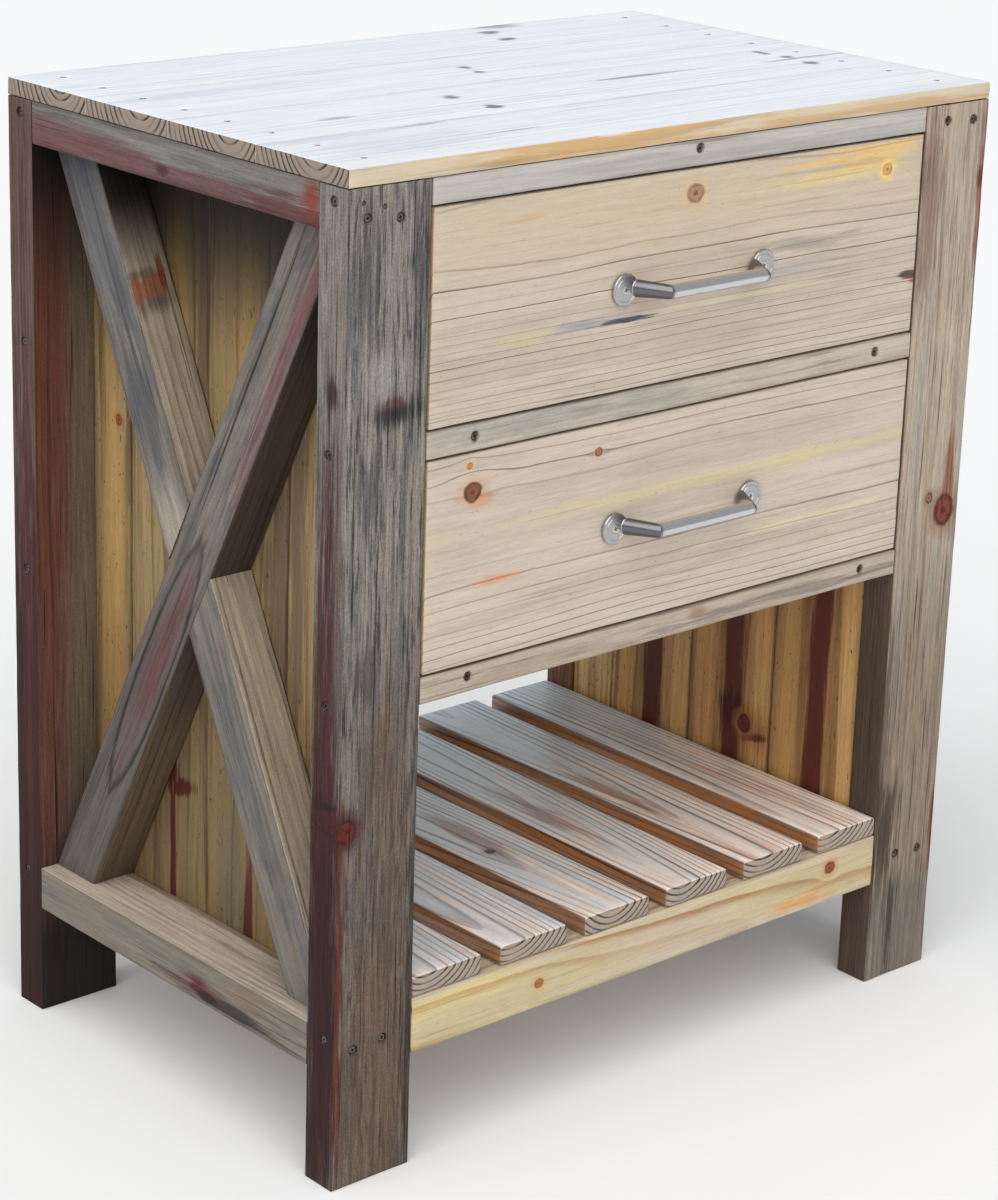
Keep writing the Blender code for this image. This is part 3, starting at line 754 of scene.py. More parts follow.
def make_top():
    end_centres = (0.045, 0.037, 0.041, 0.039)
    slate = (0.36, 0.42, 0.5)
    # Blue-grey dents and knots on the top, and pale blue patches of painted sky reflection
    marks = (
        on_side(
            "+Z",
            (0.225, 0.057, 0.045, 0.0022, slate, 0.7, 1.0),
            (0.1, 0.062, 0.09, 0.03, PAINTED_SKY_REFLECTION, 0.6, 0.8),
            (0.17, 0.118, 0.03, 0.0022, slate, 0.6, 1.0),
            (0.05, 0.115, 0.12, 0.01, PAINTED_SKY_REFLECTION, 0.7, 0.8),
        ),
        on_side(
            "+Z",
            (0.28, 0.08, 0.009, 0.008, slate, 0.85, 0.8),
            (0.283, 0.027, 0.008, 0.009, slate, 0.9, 0.8),
            (0.495, 0.074, 0.072, 0.0045, slate, 0.65, 0.9),
            (0.125, 0.056, 0.022, 0.007, slate, 0.5, 0.8),
            (0.703, 0.108, 0.006, 0.011, slate, 0.85, 0.7),
            (0.708, 0.077, 0.008, 0.007, slate, 0.85, 0.7),
            (0.704, 0.042, 0.007, 0.01, slate, 0.8, 0.7),
            (0.73, 0.066, 0.06, 0.004, slate, 0.5, 0.9),
        ),
        on_side(
            "+Z",
            (0.392, 0.068, 0.007, 0.007, slate, 0.8, 0.8),
            (0.388, 0.045, 0.007, 0.007, slate, 0.8, 0.8),
            (0.1, 0.09, 0.15, 0.012, PAINTED_SKY_REFLECTION, 0.6, 0.8),
        ),
        on_side(
            "+Z",
            (0.548, 0.09, 0.014, 0.009, slate, 0.85, 0.7),
            (0.538, 0.052, 0.011, 0.008, slate, 0.85, 0.7),
            (0.58, 0.115, 0.03, 0.01, slate, 0.6, 0.7),
        ),
    )
    for i in range(4):
        spots = [spot(0.39, 0.0, 3.0, 3.0, (0.9, 0.83, 0.72), 1.0, 0.0, "-Y"), *marks[i]]
        spots.append(spot(0.39, 0.06, 3.0, 3.0, (0.72, 0.6, 0.44), 1.0, 0.0, "-Z"))
        if i == 0:
            flame = (0.88, 0.7, 0.46)
            spots += on_side(
                "-Y",
                (0.28, 0.008, 0.16, 0.01, flame, 0.8, 1.1),
                (0.62, 0.004, 0.2, 0.006, flame, 0.6, 1.1),
            )
        look = {**TOP, "pith": (end_centres[i] / 0.123, 0.03), "tilt": (0.012 * (i - 1.5), 0.0)}
        board(f"top_board_{i + 1}", "X", "Z", 11 + i, spots=spots, **look)


def make_legs():
    rusty = (0.44, 0.2, 0.15)
    left = dict(WEATHERED, pith=(0.3, 0.1))
    corner_knot = knot_at(0.341, 0.01, 0.01, (0.45, 0.18, 0.145), (0.31, 0.17, 0.15), 0.45, 0.85)
    left["knots"] = (corner_knot,)
    left["spots"] = (
        *on_side(
            "-Y",
            (0.738, 0.05, 0.022, 0.04, (0.58, 0.565, 0.55), 0.65, 0.7),
            (0.705, 0.054, 0.012, 0.026, (0.15, 0.14, 0.15), 0.92, 1.2, 0.8),
            (0.714, 0.053, 0.005, 0.009, (0.4, 0.23, 0.22), 0.85, 1.2, 0.7),
            (0.825, 0.022, 0.07, 0.012, (0.27, 0.27, 0.285), 0.65, 1.2, 1.0),
            (0.82, 0.078, 0.08, 0.01, (0.24, 0.24, 0.25), 0.75, 1.2, 1.0),
            (0.64, 0.025, 0.04, 0.016, (0.26, 0.26, 0.28), 0.6, 1.2),
            (0.48, 0.026, 0.035, 0.016, (0.25, 0.25, 0.27), 0.65, 1.2),
            (0.4, 0.05, 0.09, 0.03, (0.46, 0.39, 0.34), 0.7, 0.8, 1.0),
            (0.1, 0.05, 0.26, 0.05, (0.45, 0.36, 0.29), 0.6, 0.8),
            (0.12, 0.084, 0.22, 0.008, (0.2, 0.19, 0.19), 0.7, 1.0),
            (0.2, 0.003, 0.2, 0.006, rusty, 0.85, 0.9),
        ),
        *on_side(
            "-X",
            (0.79, 0.019, 0.16, 0.03, (0.58, 0.555, 0.53), 0.85, 0.4),
            (0.726, 0.016, 0.016, 0.01, (0.24, 0.17, 0.17), 0.9, 0.6),
            (0.4, 0.019, 0.32, 0.018, (0.335, 0.165, 0.155), 0.92, 0.7),
            (0.56, 0.004, 0.15, 0.007, (0.49, 0.45, 0.42), 0.75, 0.8),
            (0.15, 0.018, 0.24, 0.03, (0.26, 0.112, 0.096), 0.95, 0.5),
            (0.352, 0.006, 0.009, 0.016, (0.42, 0.15, 0.13), 0.85, 0.9, 0.7, 0.5),
            (0.362, 0.016, 0.006, 0.024, (0.17, 0.09, 0.09), 0.8, 0.9, 0.8, 0.4),
        ),
    )
    # Painted shade: the leg darker towards the floor
    left["painted_shades"] = (painted_shade(0.66, 0.3, (0.83, 0.8, 0.78)),)
    board("leg_front_left", "Z", "Y", 31, **left)

    right = {**WEATHERED, "fibre": 0.38, "grit": 0.2}
    right["early"] = (0.69, 0.63, 0.56)
    right["line_tint"] = (0.76, 0.69, 0.64)
    right["streaks"] = (
        ((0.6, 0.54, 0.48), 0.75, 0.5, 0.1, 3.0, 120.0),
        ((0.66, 0.64, 0.61), 0.65, 0.52, 0.12, 5.0, 60.0),
        ((0.46, 0.4, 0.36), 0.6, 0.57, 0.08, 14.0, 330.0),
    )
    right["pith"] = (0.8, 0.12)
    right["knots"] = (
        knot_at(0.492, 0.067, 0.013, (0.5, 0.25, 0.18), (0.56, 0.36, 0.26), 0.9, 0.6),
        knot_at(0.508, 0.044, 0.0045, KNOT_BROWN, (0.5, 0.42, 0.36)),
    )
    right["spots"] = (
        *on_side(
            "-Y",
            (0.815, 0.012, 0.095, 0.017, (0.5, 0.41, 0.36), 0.75, 0.7),
            (0.815, 0.088, 0.1, 0.009, (0.52, 0.3, 0.26), 0.85, 0.7),
            (0.822, 0.084, 0.012, 0.006, (0.36, 0.14, 0.12), 0.8, 0.5),
            (0.535, 0.07, 0.04, 0.008, (0.52, 0.26, 0.17), 0.8, 0.7),
            (0.15, 0.087, 0.06, 0.006, (0.48, 0.2, 0.17), 0.85, 0.7),
            (0.16, 0.014, 0.062, 0.018, (0.28, 0.24, 0.22), 0.85, 1.1),
            (0.235, 0.004, 0.2, 0.006, (0.38, 0.31, 0.27), 0.6, 1.0),
            (0.04, 0.045, 0.075, 0.06, (0.54, 0.52, 0.49), 0.8, 0.8),
            (0.06, 0.03, 0.05, 0.006, (0.25, 0.22, 0.22), 0.75, 1.3),
        ),
        # Painted shade: the leg's inner side, facing the shelf, darker all over
        spot(0.5, 0.0, 3.0, 3.0, (0.4, 0.33, 0.28), 0.85, 0.4, "-X"),
    )
    # Painted shade: the leg darker towards the floor
    right["painted_shades"] = (painted_shade(0.56, 0.3, (0.8, 0.78, 0.76)),)
    board("leg_front_right", "Z", "Y", 32, **right)

    back = {**WEATHERED, "early": (0.42, 0.34, 0.31), "fibre": 0.45}
    back["streaks"] = (
        ((0.36, 0.28, 0.24), 0.8, 0.5, 0.1, 2.0, 90.0),
        ((0.24, 0.19, 0.17), 0.7, 0.57, 0.1, 4.0, 180.0),
    )
    back["spots"] = (
        *on_side(
            "-Y",
            (0.82, 0.012, 0.84, 0.031, (0.38, 0.205, 0.15), 0.9, 0.5),
            (0.4, 0.072, 0.9, 0.036, (0.42, 0.37, 0.29), 0.85, 0.5),
        ),
        *on_side(
            "-X",
            (0.75, 0.0, 0.3, 3.0, (0.44, 0.345, 0.32), 0.75, 0.4),
            (0.15, 0.018, 0.46, 3.0, (0.245, 0.118, 0.11), 0.95, 0.5),
            (0.5, 0.016, 0.5, 0.006, (0.36, 0.18, 0.16), 0.6, 0.9),
        ),
    )
    # Painted shade: on the front side a shadow under the top rail and a dark foot, and all round darker
    # towards the floor
    back["painted_shades"] = (
        painted_shade(0.66, 0.86, (0.34, 0.28, 0.27), "-Y"),
        painted_shade(0.79, 0.872, (0.34, 0.3, 0.3), "-Y"),
        painted_shade(0.3, 0.05, (0.75, 0.7, 0.67)),
        painted_shade(0.13, 0.07, (0.44, 0.48, 0.5), "-Y"),
    )
    board("leg_back_left", "Z", "Y", 33, **back)
    inner = {**back, "early": (0.6, 0.45, 0.35)}
    inner["streaks"] = (
        ((0.5, 0.38, 0.3), 0.7, 0.5, 0.12, 6.0, 70.0),
        ((0.28, 0.22, 0.19), 0.7, 0.56, 0.1, 12.0, 160.0),
    )
    inner["spots"] = on_side(
        "-X",
        (0.25, 0.02, 0.02, 0.012, (0.58, 0.34, 0.16), 0.8, 1.0),
        (0.38, 0.012, 0.06, 0.01, (0.26, 0.2, 0.18), 0.8, 1.0),
    )
    board("leg_back_right", "Z", "Y", 34, **inner)


def make_rails():
    looks = {
        "top": dict(early=(0.735, 0.715, 0.69), pith=(0.4, 0.09), fibre=0.14, line=0.6, streaks=(
            ((0.67, 0.655, 0.64), 0.7, 0.5, 0.12, 2.6, 60.0),
        )),
        "middle": dict(early=(0.735, 0.685, 0.63), pith=(0.7, 0.06), streaks=(
            ((0.66, 0.62, 0.58), 0.6, 0.5, 0.12, 1.6, 60.0),
            ((0.54, 0.5, 0.47), 0.5, 0.59, 0.1, 5.0, 160.0),
        ), spots=(
            spot(0.1, 0.018, 0.26, 0.016, (0.6, 0.585, 0.565), 0.6, 1.1, None, 1.0),
            spot(0.45, 0.036, 0.3, 0.003, (0.5, 0.45, 0.41), 0.5, 1.1),
        )),
        "lower": dict(early=(0.7, 0.64, 0.575), pith=(0.3, 0.08), spots=(
            spot(0.332, 0.016, 0.014, 0.009, (0.62, 0.5, 0.4), 0.8, 0.6),
            spot(0.46, 0.01, 0.18, 0.005, (0.46, 0.42, 0.4), 0.6, 1.2),
        )),
    }
    for number, (level, change) in enumerate(looks.items()):
        for shift, end in enumerate(("front", "back")):
            board(f"{end}_rail_{level}", "X", "Y", 41 + number + 5 * shift, **{**RAIL, **change})
    knots = (
        knot_at(0.152, 0.024, 0.0045, (0.66, 0.46, 0.27), (0.8, 0.62, 0.38), 0.6),
        knot_at(0.539, 0.036, 0.006, (0.56, 0.3, 0.2), (0.78, 0.54, 0.34), 0.7, 0.7),
    )
    spots = (
        spot(0.33, 0.03, 0.09, 0.03, (0.78, 0.71, 0.64), 0.7, 0.5),
        spot(0.5, 0.01, 0.05, 0.008, (0.82, 0.6, 0.32), 0.75, 1.0),
        spot(0.05, 0.04, 0.09, 0.012, YELLOW, 0.5, 0.8),
    )
    shelf = {**SHELF_RAIL, "knots": knots, "spots": spots, "pith": (0.4, 0.05), "tilt": (0.03, 0.0)}
    board("front_rail_shelf", "X", "Y", 54, **shelf)
    board("back_rail_shelf", "X", "Y", 57, **{**shelf, "knots": ()})


def make_side_rails():
    for side, out in (("left", "-X"), ("right", "+X")):
        top = dict(SIDE_RAIL)
        top["spots"] = on_side(
            out,
            (0.26, 0.007, 0.34, 0.013, (0.4, 0.27, 0.27), 0.85, 0.6),
            (0.38, 0.016, 0.13, 0.015, (0.4, 0.27, 0.26), 0.8, 0.5),
            (0.215, 0.011, 0.01, 0.005, (0.28, 0.15, 0.15), 0.9, 0.5),
            (0.008, 0.02, 0.018, 0.022, (0.48, 0.21, 0.18), 0.9, 0.7),
            (0.05, 0.01, 0.05, 0.012, (0.38, 0.24, 0.23), 0.8, 0.8),
        )
        board(f"side_rail_top_{side}", "Y", "X", 61, **top)
        bottom = {**SIDE_RAIL, "early": (0.485, 0.45, 0.405), "line": 0.45, "fibre": 0.3}
        bottom["spots"] = (
            *on_side(
                out,
                (0.115, 0.01, 0.085, 0.009, (0.17, 0.14, 0.14), 0.85, 1.3, 0.8),
                (0.165, 0.014, 0.034, 0.014, (0.38, 0.245, 0.235), 0.85, 0.9, 0.8),
                (0.162, 0.014, 0.014, 0.008, (0.32, 0.13, 0.13), 0.9, 0.9, 0.6),
                (0.148, 0.008, 0.016, 0.004, (0.12, 0.08, 0.08), 0.85, 1.2, 0.5),
                (0.09, 0.028, 0.03, 0.01, (0.5, 0.4, 0.34), 0.6, 1.0),
            ),
            *on_side(
                "+Z",
                (0.2, 0.04, 3.0, 3.0, (0.77, 0.715, 0.66), 0.95, 0.2),
                (0.05, 0.04, 0.09, 0.03, (0.58, 0.54, 0.51), 0.7, 1.3, 1.0),
                (0.25, 0.062 if side == "left" else 0.003, 0.26, 0.007, (0.5, 0.38, 0.29), 0.7, 1.1),
            ),
        )
        board(f"side_rail_bottom_{side}", "Y", "X", 62, **bottom)


def panel_marks(i, width, out, inward):
    """The coloured patches of one panel board: heartwood stripes, dark bands and the fan of a knot."""
    spots = []
    brown = (0.4, 0.33, 0.26)
    if i < 3:
        spots += on_side(
            inward,
            (0.4, width * 0.8, 3.0, 0.014, (0.8, 0.62, 0.38), 0.7, 0.6),
            (0.4, width * 0.14, 3.0, 0.014, (0.84, 0.67, 0.43), 0.7, 0.6),
            (0.4, width * 0.47, 3.0, 0.026, (0.54, 0.38, 0.25), 0.8, 0.6, 1.0),
            (0.4, width * 0.47, 3.0, 0.014, HEART_RED, 0.95, 0.35, 0.35),
        )
    if i == 0:
        spots += on_side(
            out,
            (0.4, 0.02, 0.55, 0.036, (0.86, 0.665, 0.4), 0.95, 0.45),
            (0.45, 0.104, 0.45, 0.012, brown, 0.8, 0.7),
        )
    if i == 1:
        spots += on_side(
            inward,
            (0.108, 0.02, 0.024, 0.024, (0.64, 0.41, 0.25), 0.8, 0.9, 0.9),
            (0.122, 0.054, 0.024, 0.02, (0.26, 0.1, 0.09), 0.92, 0.9, 0.5),
            (0.1, 0.024, 0.005, 0.022, (0.34, 0.15, 0.1), 0.9, 0.7, 0.5, 0.9),
        )
        spots += on_side(
            out,
            (0.6, 0.06, 0.11, 0.02, (0.72, 0.6, 0.37), 0.7, 0.8),
            (0.45, 0.012, 0.3, 0.02, brown, 0.8, 0.7),
            (0.06, 0.08, 0.16, 0.022, (0.5, 0.48, 0.36), 0.8, 0.6),
            (0.0, 0.053, 0.14, 0.008, (0.36, 0.11, 0.11), 0.95, 0.3, 0.3),
        )
    if i == 2:
        spots += on_side(
            out,
            (0.66, 0.085, 0.12, 0.026, brown, 0.8, 0.5),
            (0.55, 0.045, 0.18, 0.018, (0.72, 0.6, 0.36), 0.7, 0.8),
            (0.55, 0.006, 0.4, 0.01, brown, 0.75, 0.7),
            (0.06, 0.03, 0.14, 0.012, (0.52, 0.5, 0.36), 0.75, 0.6),
            (0.07, 0.052, 0.11, 0.0052, (0.34, 0.1, 0.08), 0.95, 0.4, 0.3),
            (0.156, 0.038, 0.01, 0.022, (0.36, 0.1, 0.07), 0.95, 0.8, 0.4, 0.6),
            (0.17, 0.052, 0.03, 0.009, (0.34, 0.1, 0.07), 0.95, 0.8, 0.4),
        )
    if i == 3:
        spots += on_side(
            out,
            (0.3, 0.03, 0.26, 0.022, (0.7, 0.56, 0.33), 0.7, 0.7),
            (0.4, 0.06, 0.3, 0.01, (0.52, 0.4, 0.27), 0.7, 0.8),
        )
    return spots


def make_panels():
    orange_knot = knot_at(0.491, 0.02, 0.0045, (0.6, 0.34, 0.18), (0.6, 0.42, 0.22), 0.7)
    fan_knot = knot_at(0.112, 0.036, 0.0085, (0.4, 0.18, 0.12), (0.62, 0.4, 0.24), 0.9, 0.8)
    # The right panel boards' warm tones, lighter from the first board to the fourth: partly the wood's own
    # colour, partly painted light falling in from the open back
    tones_with_painted_light = (
        srgb(0.66, 0.52, 0.33), srgb(0.69, 0.53, 0.35), srgb(0.77, 0.61, 0.41), srgb(0.88, 0.73, 0.5),
    )
    for side, out in (("left", "-X"), ("right", "+X")):
        inward = "+X" if side == "left" else "-X"
        for i in range(4):
            low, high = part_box(f"panel_{side}_{i + 1}")
            look = {**PANEL, "spots": panel_marks(i, high.y - low.y, out, inward), "specks": 0.8}
            look["knots"] = (orange_knot,) if i == 3 and side == "left" else ()
            if i == 1 and side == "right":
                look["knots"] = (fan_knot,)
            if side == "right":
                look["early"] = tones_with_painted_light[i]
                dull = [channel * 0.62 for channel in tones_with_painted_light[i][:3]]
                look["streaks"] = (
                    ((*dull, 1.0), 0.7, 0.48, 0.14, 1.4, 22.0),
                    ((*[channel * 0.6 for channel in dull], 1.0), 0.6, 0.56, 0.12, 2.0, 44.0),
                    ((*[channel * 0.4 for channel in dull], 1.0), 0.4, 0.59, 0.08, 6.0, 150.0),
                )
            # Painted shade on the outer side: the shadow under the top side rail, and darker towards the
            # floor
            look["painted_shades"] = (
                painted_shade(0.5, 0.72, (0.68, 0.66, 0.67), out),
                painted_shade(0.58, 0.74, (0.33, 0.31, 0.31), out),
                painted_shade(0.4, 0.16, (0.82, 0.79, 0.78), out),
            )
            board(f"panel_{side}_{i + 1}", "Z", "X", 71 + i + (5 if side == "right" else 0), **look)


def make_braces():
    for side, out in (("left", "-X"), ("right", "+X")):
        for number, which in enumerate(("long", "upper", "lower")):
            brace(f"brace_{which}_{side}", side, which, out, 81 + number + (5 if side == "right" else 0))


def brace_frame(node):
    """A brace's middle, its lean, and its lowest and highest corner once it stands upright."""
    mesh = frame["nodes"][node].data
    areas = {}
    for polygon in mesh.polygons:
        if abs(polygon.normal.x) < 0.05:
            key = round(math.atan2(polygon.normal.z, polygon.normal.y) % math.pi, 3)
            areas[key] = areas.get(key, 0.0) + polygon.area
    angle = max(areas, key=areas.get)
    angle = angle - math.pi if angle > math.pi / 2 else angle
    low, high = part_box(node)
    centre = (low + high) / 2
    upright = Matrix.Rotation(-angle, 3, "X")
    corners = [centre + upright @ (vert.co - centre) for vert in mesh.vertices]
    low_turned = Vector([min(corner[i] for corner in corners) for i in range(3)])
    high_turned = Vector([max(corner[i] for corner in corners) for i in range(3)])
    return centre, angle, low_turned, high_turned


def brace(node, side, which, out, seed):
    centre, angle, low, high = brace_frame(node)
    spare = Vector((0, 0, 0.02))
    maker = plank(low - spare, high + spare, "Z", 0.0016)
    wear(maker, low - spare, high + spare, "Z", seed, 0.0005)
    lean = Matrix.Translation(centre) @ Matrix.Rotation(angle, 4, "X") @ Matrix.Translation(-centre)
    bmesh.ops.transform(maker, matrix=lean, verts=maker.verts)
    cad_low_corner, cad_high_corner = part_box(node)
    for axis in (1, 2):
        for corner, sign in ((cad_low_corner, -1), (cad_high_corner, 1)):
            saw(maker, corner, Vector([sign if i == axis else 0 for i in range(3)]))
    if which != "long":
        other_centre, other_angle, other_low, other_high = brace_frame(f"brace_long_{side}")
        across = Matrix.Rotation(other_angle, 3, "X") @ Vector((0, 1, 0))
        half = (other_high.y - other_low.y) / 2 + 0.0003
        sign = 1 if which == "upper" else -1
        shift = (other_low.y + other_high.y) / 2 - other_centre.y
        saw(maker, other_centre + across * (shift + sign * half), -across * sign)
    look = dict(BRACE)
    long = high.z - low.z
    wide = high.y - low.y
    if which == "long":
        look["spots"] = (
            *on_side(
                out,
                (long * 0.9, 0.009, long * 0.34, 0.013, (0.42, 0.285, 0.285), 0.85, 0.8, 1.0),
                (long * 0.12, wide * 0.5, long * 0.16, 0.05, (0.4, 0.395, 0.385), 0.75, 0.6, 0.9),
                (long * 0.36, wide * 0.44, long * 0.2, 0.0215, (0.012, 0.01, 0.01, 1.0), 0.8, 0.1, 0.08),
                (long * 0.362, wide * 0.44, long * 0.186, 0.0185, (0.43, 0.395, 0.38), 0.97, 0.1, 0.1),
                (long * 0.39, wide * 0.42, long * 0.145, 0.011, (0.43, 0.29, 0.28), 0.9, 0.7, 1.0),
                (long * 0.76, wide - 0.017, long * 0.2, 0.0016, (0.01, 0.01, 0.01, 1.0), 0.85, 0.25, 0.5),
            ),
            # Painted shade: the long brace's front side, which faces down, dark brown all over and a little
            # lighter towards its lower end
            *on_side(
                "-Y",
                (long * 0.5, 0.03, 3.0, 3.0, (0.31, 0.25, 0.21), 0.9, 0.3),
                (long * 0.12, 0.03, long * 0.26, 3.0, (0.47, 0.4, 0.32), 0.8, 0.5),
            ),
        )
        # Painted shade: a shadow under the top rail on the front side, and the outer side darker towards its
        # lower end
        look["painted_shades"] = (
            painted_shade(long * 0.75, long, (0.62, 0.6, 0.6), "-Y"),
            painted_shade(long * 0.65, long * 0.35, (0.86, 0.82, 0.81), out),
        )
    elif which == "upper":
        beige = (0.69, 0.63, 0.55)
        look["spots"] = (
            *on_side(
                out,
                (long * 0.35, wide * 0.5, long * 0.2, 0.02, (0.3, 0.31, 0.325), 0.75, 0.9),
                (long * 0.8, wide * 0.45, long * 0.25, 0.04, (0.39, 0.4, 0.415), 0.7, 0.6, 0.9),
                (long * 0.6, wide * 0.35, long * 0.12, 0.016, (0.28, 0.285, 0.3), 0.7, 0.9, 0.9),
                (long * 0.04, wide * 0.6, long * 0.13, 0.03, (0.6, 0.56, 0.51), 0.85, 0.6),
            ),
            *on_side(
                "-Y",
                (long * 0.4, 0.03, 3.0, 3.0, beige, 0.95, 0.3),
                (long * 0.578, 0.022, 0.014, 0.024, (0.24, 0.2, 0.17), 0.7, 0.6, 0.8, -0.3),
                (long * 0.64, 0.015, 0.006, 0.02, (0.26, 0.21, 0.17), 0.6, 0.5, 0.8, -0.3),
                (long * 0.608, 0.019, 0.0105, 0.02, (0.61, 0.38, 0.26), 0.95, 0.5, 0.2, -0.35, True),
                (long * 0.64, 0.036, 0.02, 0.0035, (0.5, 0.25, 0.14), 0.9, 0.6, 0.4),
            ),
            spot(long * 0.4, 0.03, 3.0, 3.0, beige, 0.9, 0.3, "+Y"),
        )
        # Painted shadow under the top rail: the front side near black towards its top, the outer side darker
        # towards its top
        look["painted_shades"] = (
            painted_shade(long * 0.6, long * 0.84, (0.2, 0.18, 0.18), "-Y"),
            painted_shade(long * 0.6, long, (0.74, 0.74, 0.76), out),
        )
    else:
        beige = (0.72, 0.665, 0.58)
        look["spots"] = (
            spot(long * 0.62, wide * 0.5, long * 0.22, 0.016, (0.35, 0.355, 0.355), 0.75, 1.0, out, 0.9),
            spot(long * 0.4, 0.03, 3.0, 3.0, beige, 0.95, 0.25, "-Y"),
            spot(long * 0.4, 0.03, 3.0, 3.0, beige, 0.9, 0.3, "+Y"),
            spot(long * 0.5, 0.006, long, 0.0012, (0.4, 0.34, 0.28), 0.7, 0.5, "-Y"),
        )
    material = wood(f"{node}_wood", low, high, "Z", "X", seed, turn=(tuple(centre), -angle), **look)
    finish_piece(f"{node}_board", maker, material, node)


def make_shelf():
    piths = ((0.2, 0.055), (0.15, 0.06), (0.42, 0.045), (0.25, 0.05), (0.3, 0.055), (0.12, 0.062))
    painted_reflection_reach = (0.42, 0.42, 0.38, 0.34, 0.28, 0.22)
    flank = (0.52, 0.36, 0.22)
    glow = (0.8, 0.5, 0.2)
    for i, pith in enumerate(piths):
        spots = [
            # Painted reflection: the back of each slat's top pale blue, as if it mirrored the bright sky
            spot(0.46, 0.04, painted_reflection_reach[i], 3.0, (0.86, 0.94, 1.0), 0.92, 0.8, "+Z"),
            spot(0.2, 0.0, 3.0, 3.0, flank, 0.9, 0.4, "-X"),
            spot(0.2, 0.0, 3.0, 3.0, flank, 0.9, 0.4, "+X"),
            spot(0.22, 0.009, 0.24, 0.007, glow, 0.75, 1.1, "-X"),
            spot(0.22, 0.011, 0.24, 0.007, glow, 0.75, 1.1, "+X"),
            spot(0.24, 0.003, 0.22, 0.003, (0.24, 0.15, 0.1), 0.7, 1.1, "-X"),
        ]
        if i in (2, 3, 4):
            spots.append(spot(0.2, 0.06 - 0.01 * i, 0.08, 0.012, (0.62, 0.47, 0.44), 0.75, 0.9, "+Z"))
        look = {**SLAT, "pith": pith, "tilt": (0.05 * (i % 3 - 1), 0.03), "spots": spots}
        if i == 2:
            look["knots"] = (knot_at(0.17, 0.03, 0.0045, (0.2, 0.14, 0.12), (0.52, 0.44, 0.4)),)
        board(f"shelf_slat_{i + 1}", "Y", "Z", 91 + i, ease=0.003, nick=0.0002, **look)


GROOVE_GAP = 0.0003      # how much room a drawer's bottom has in its grooves


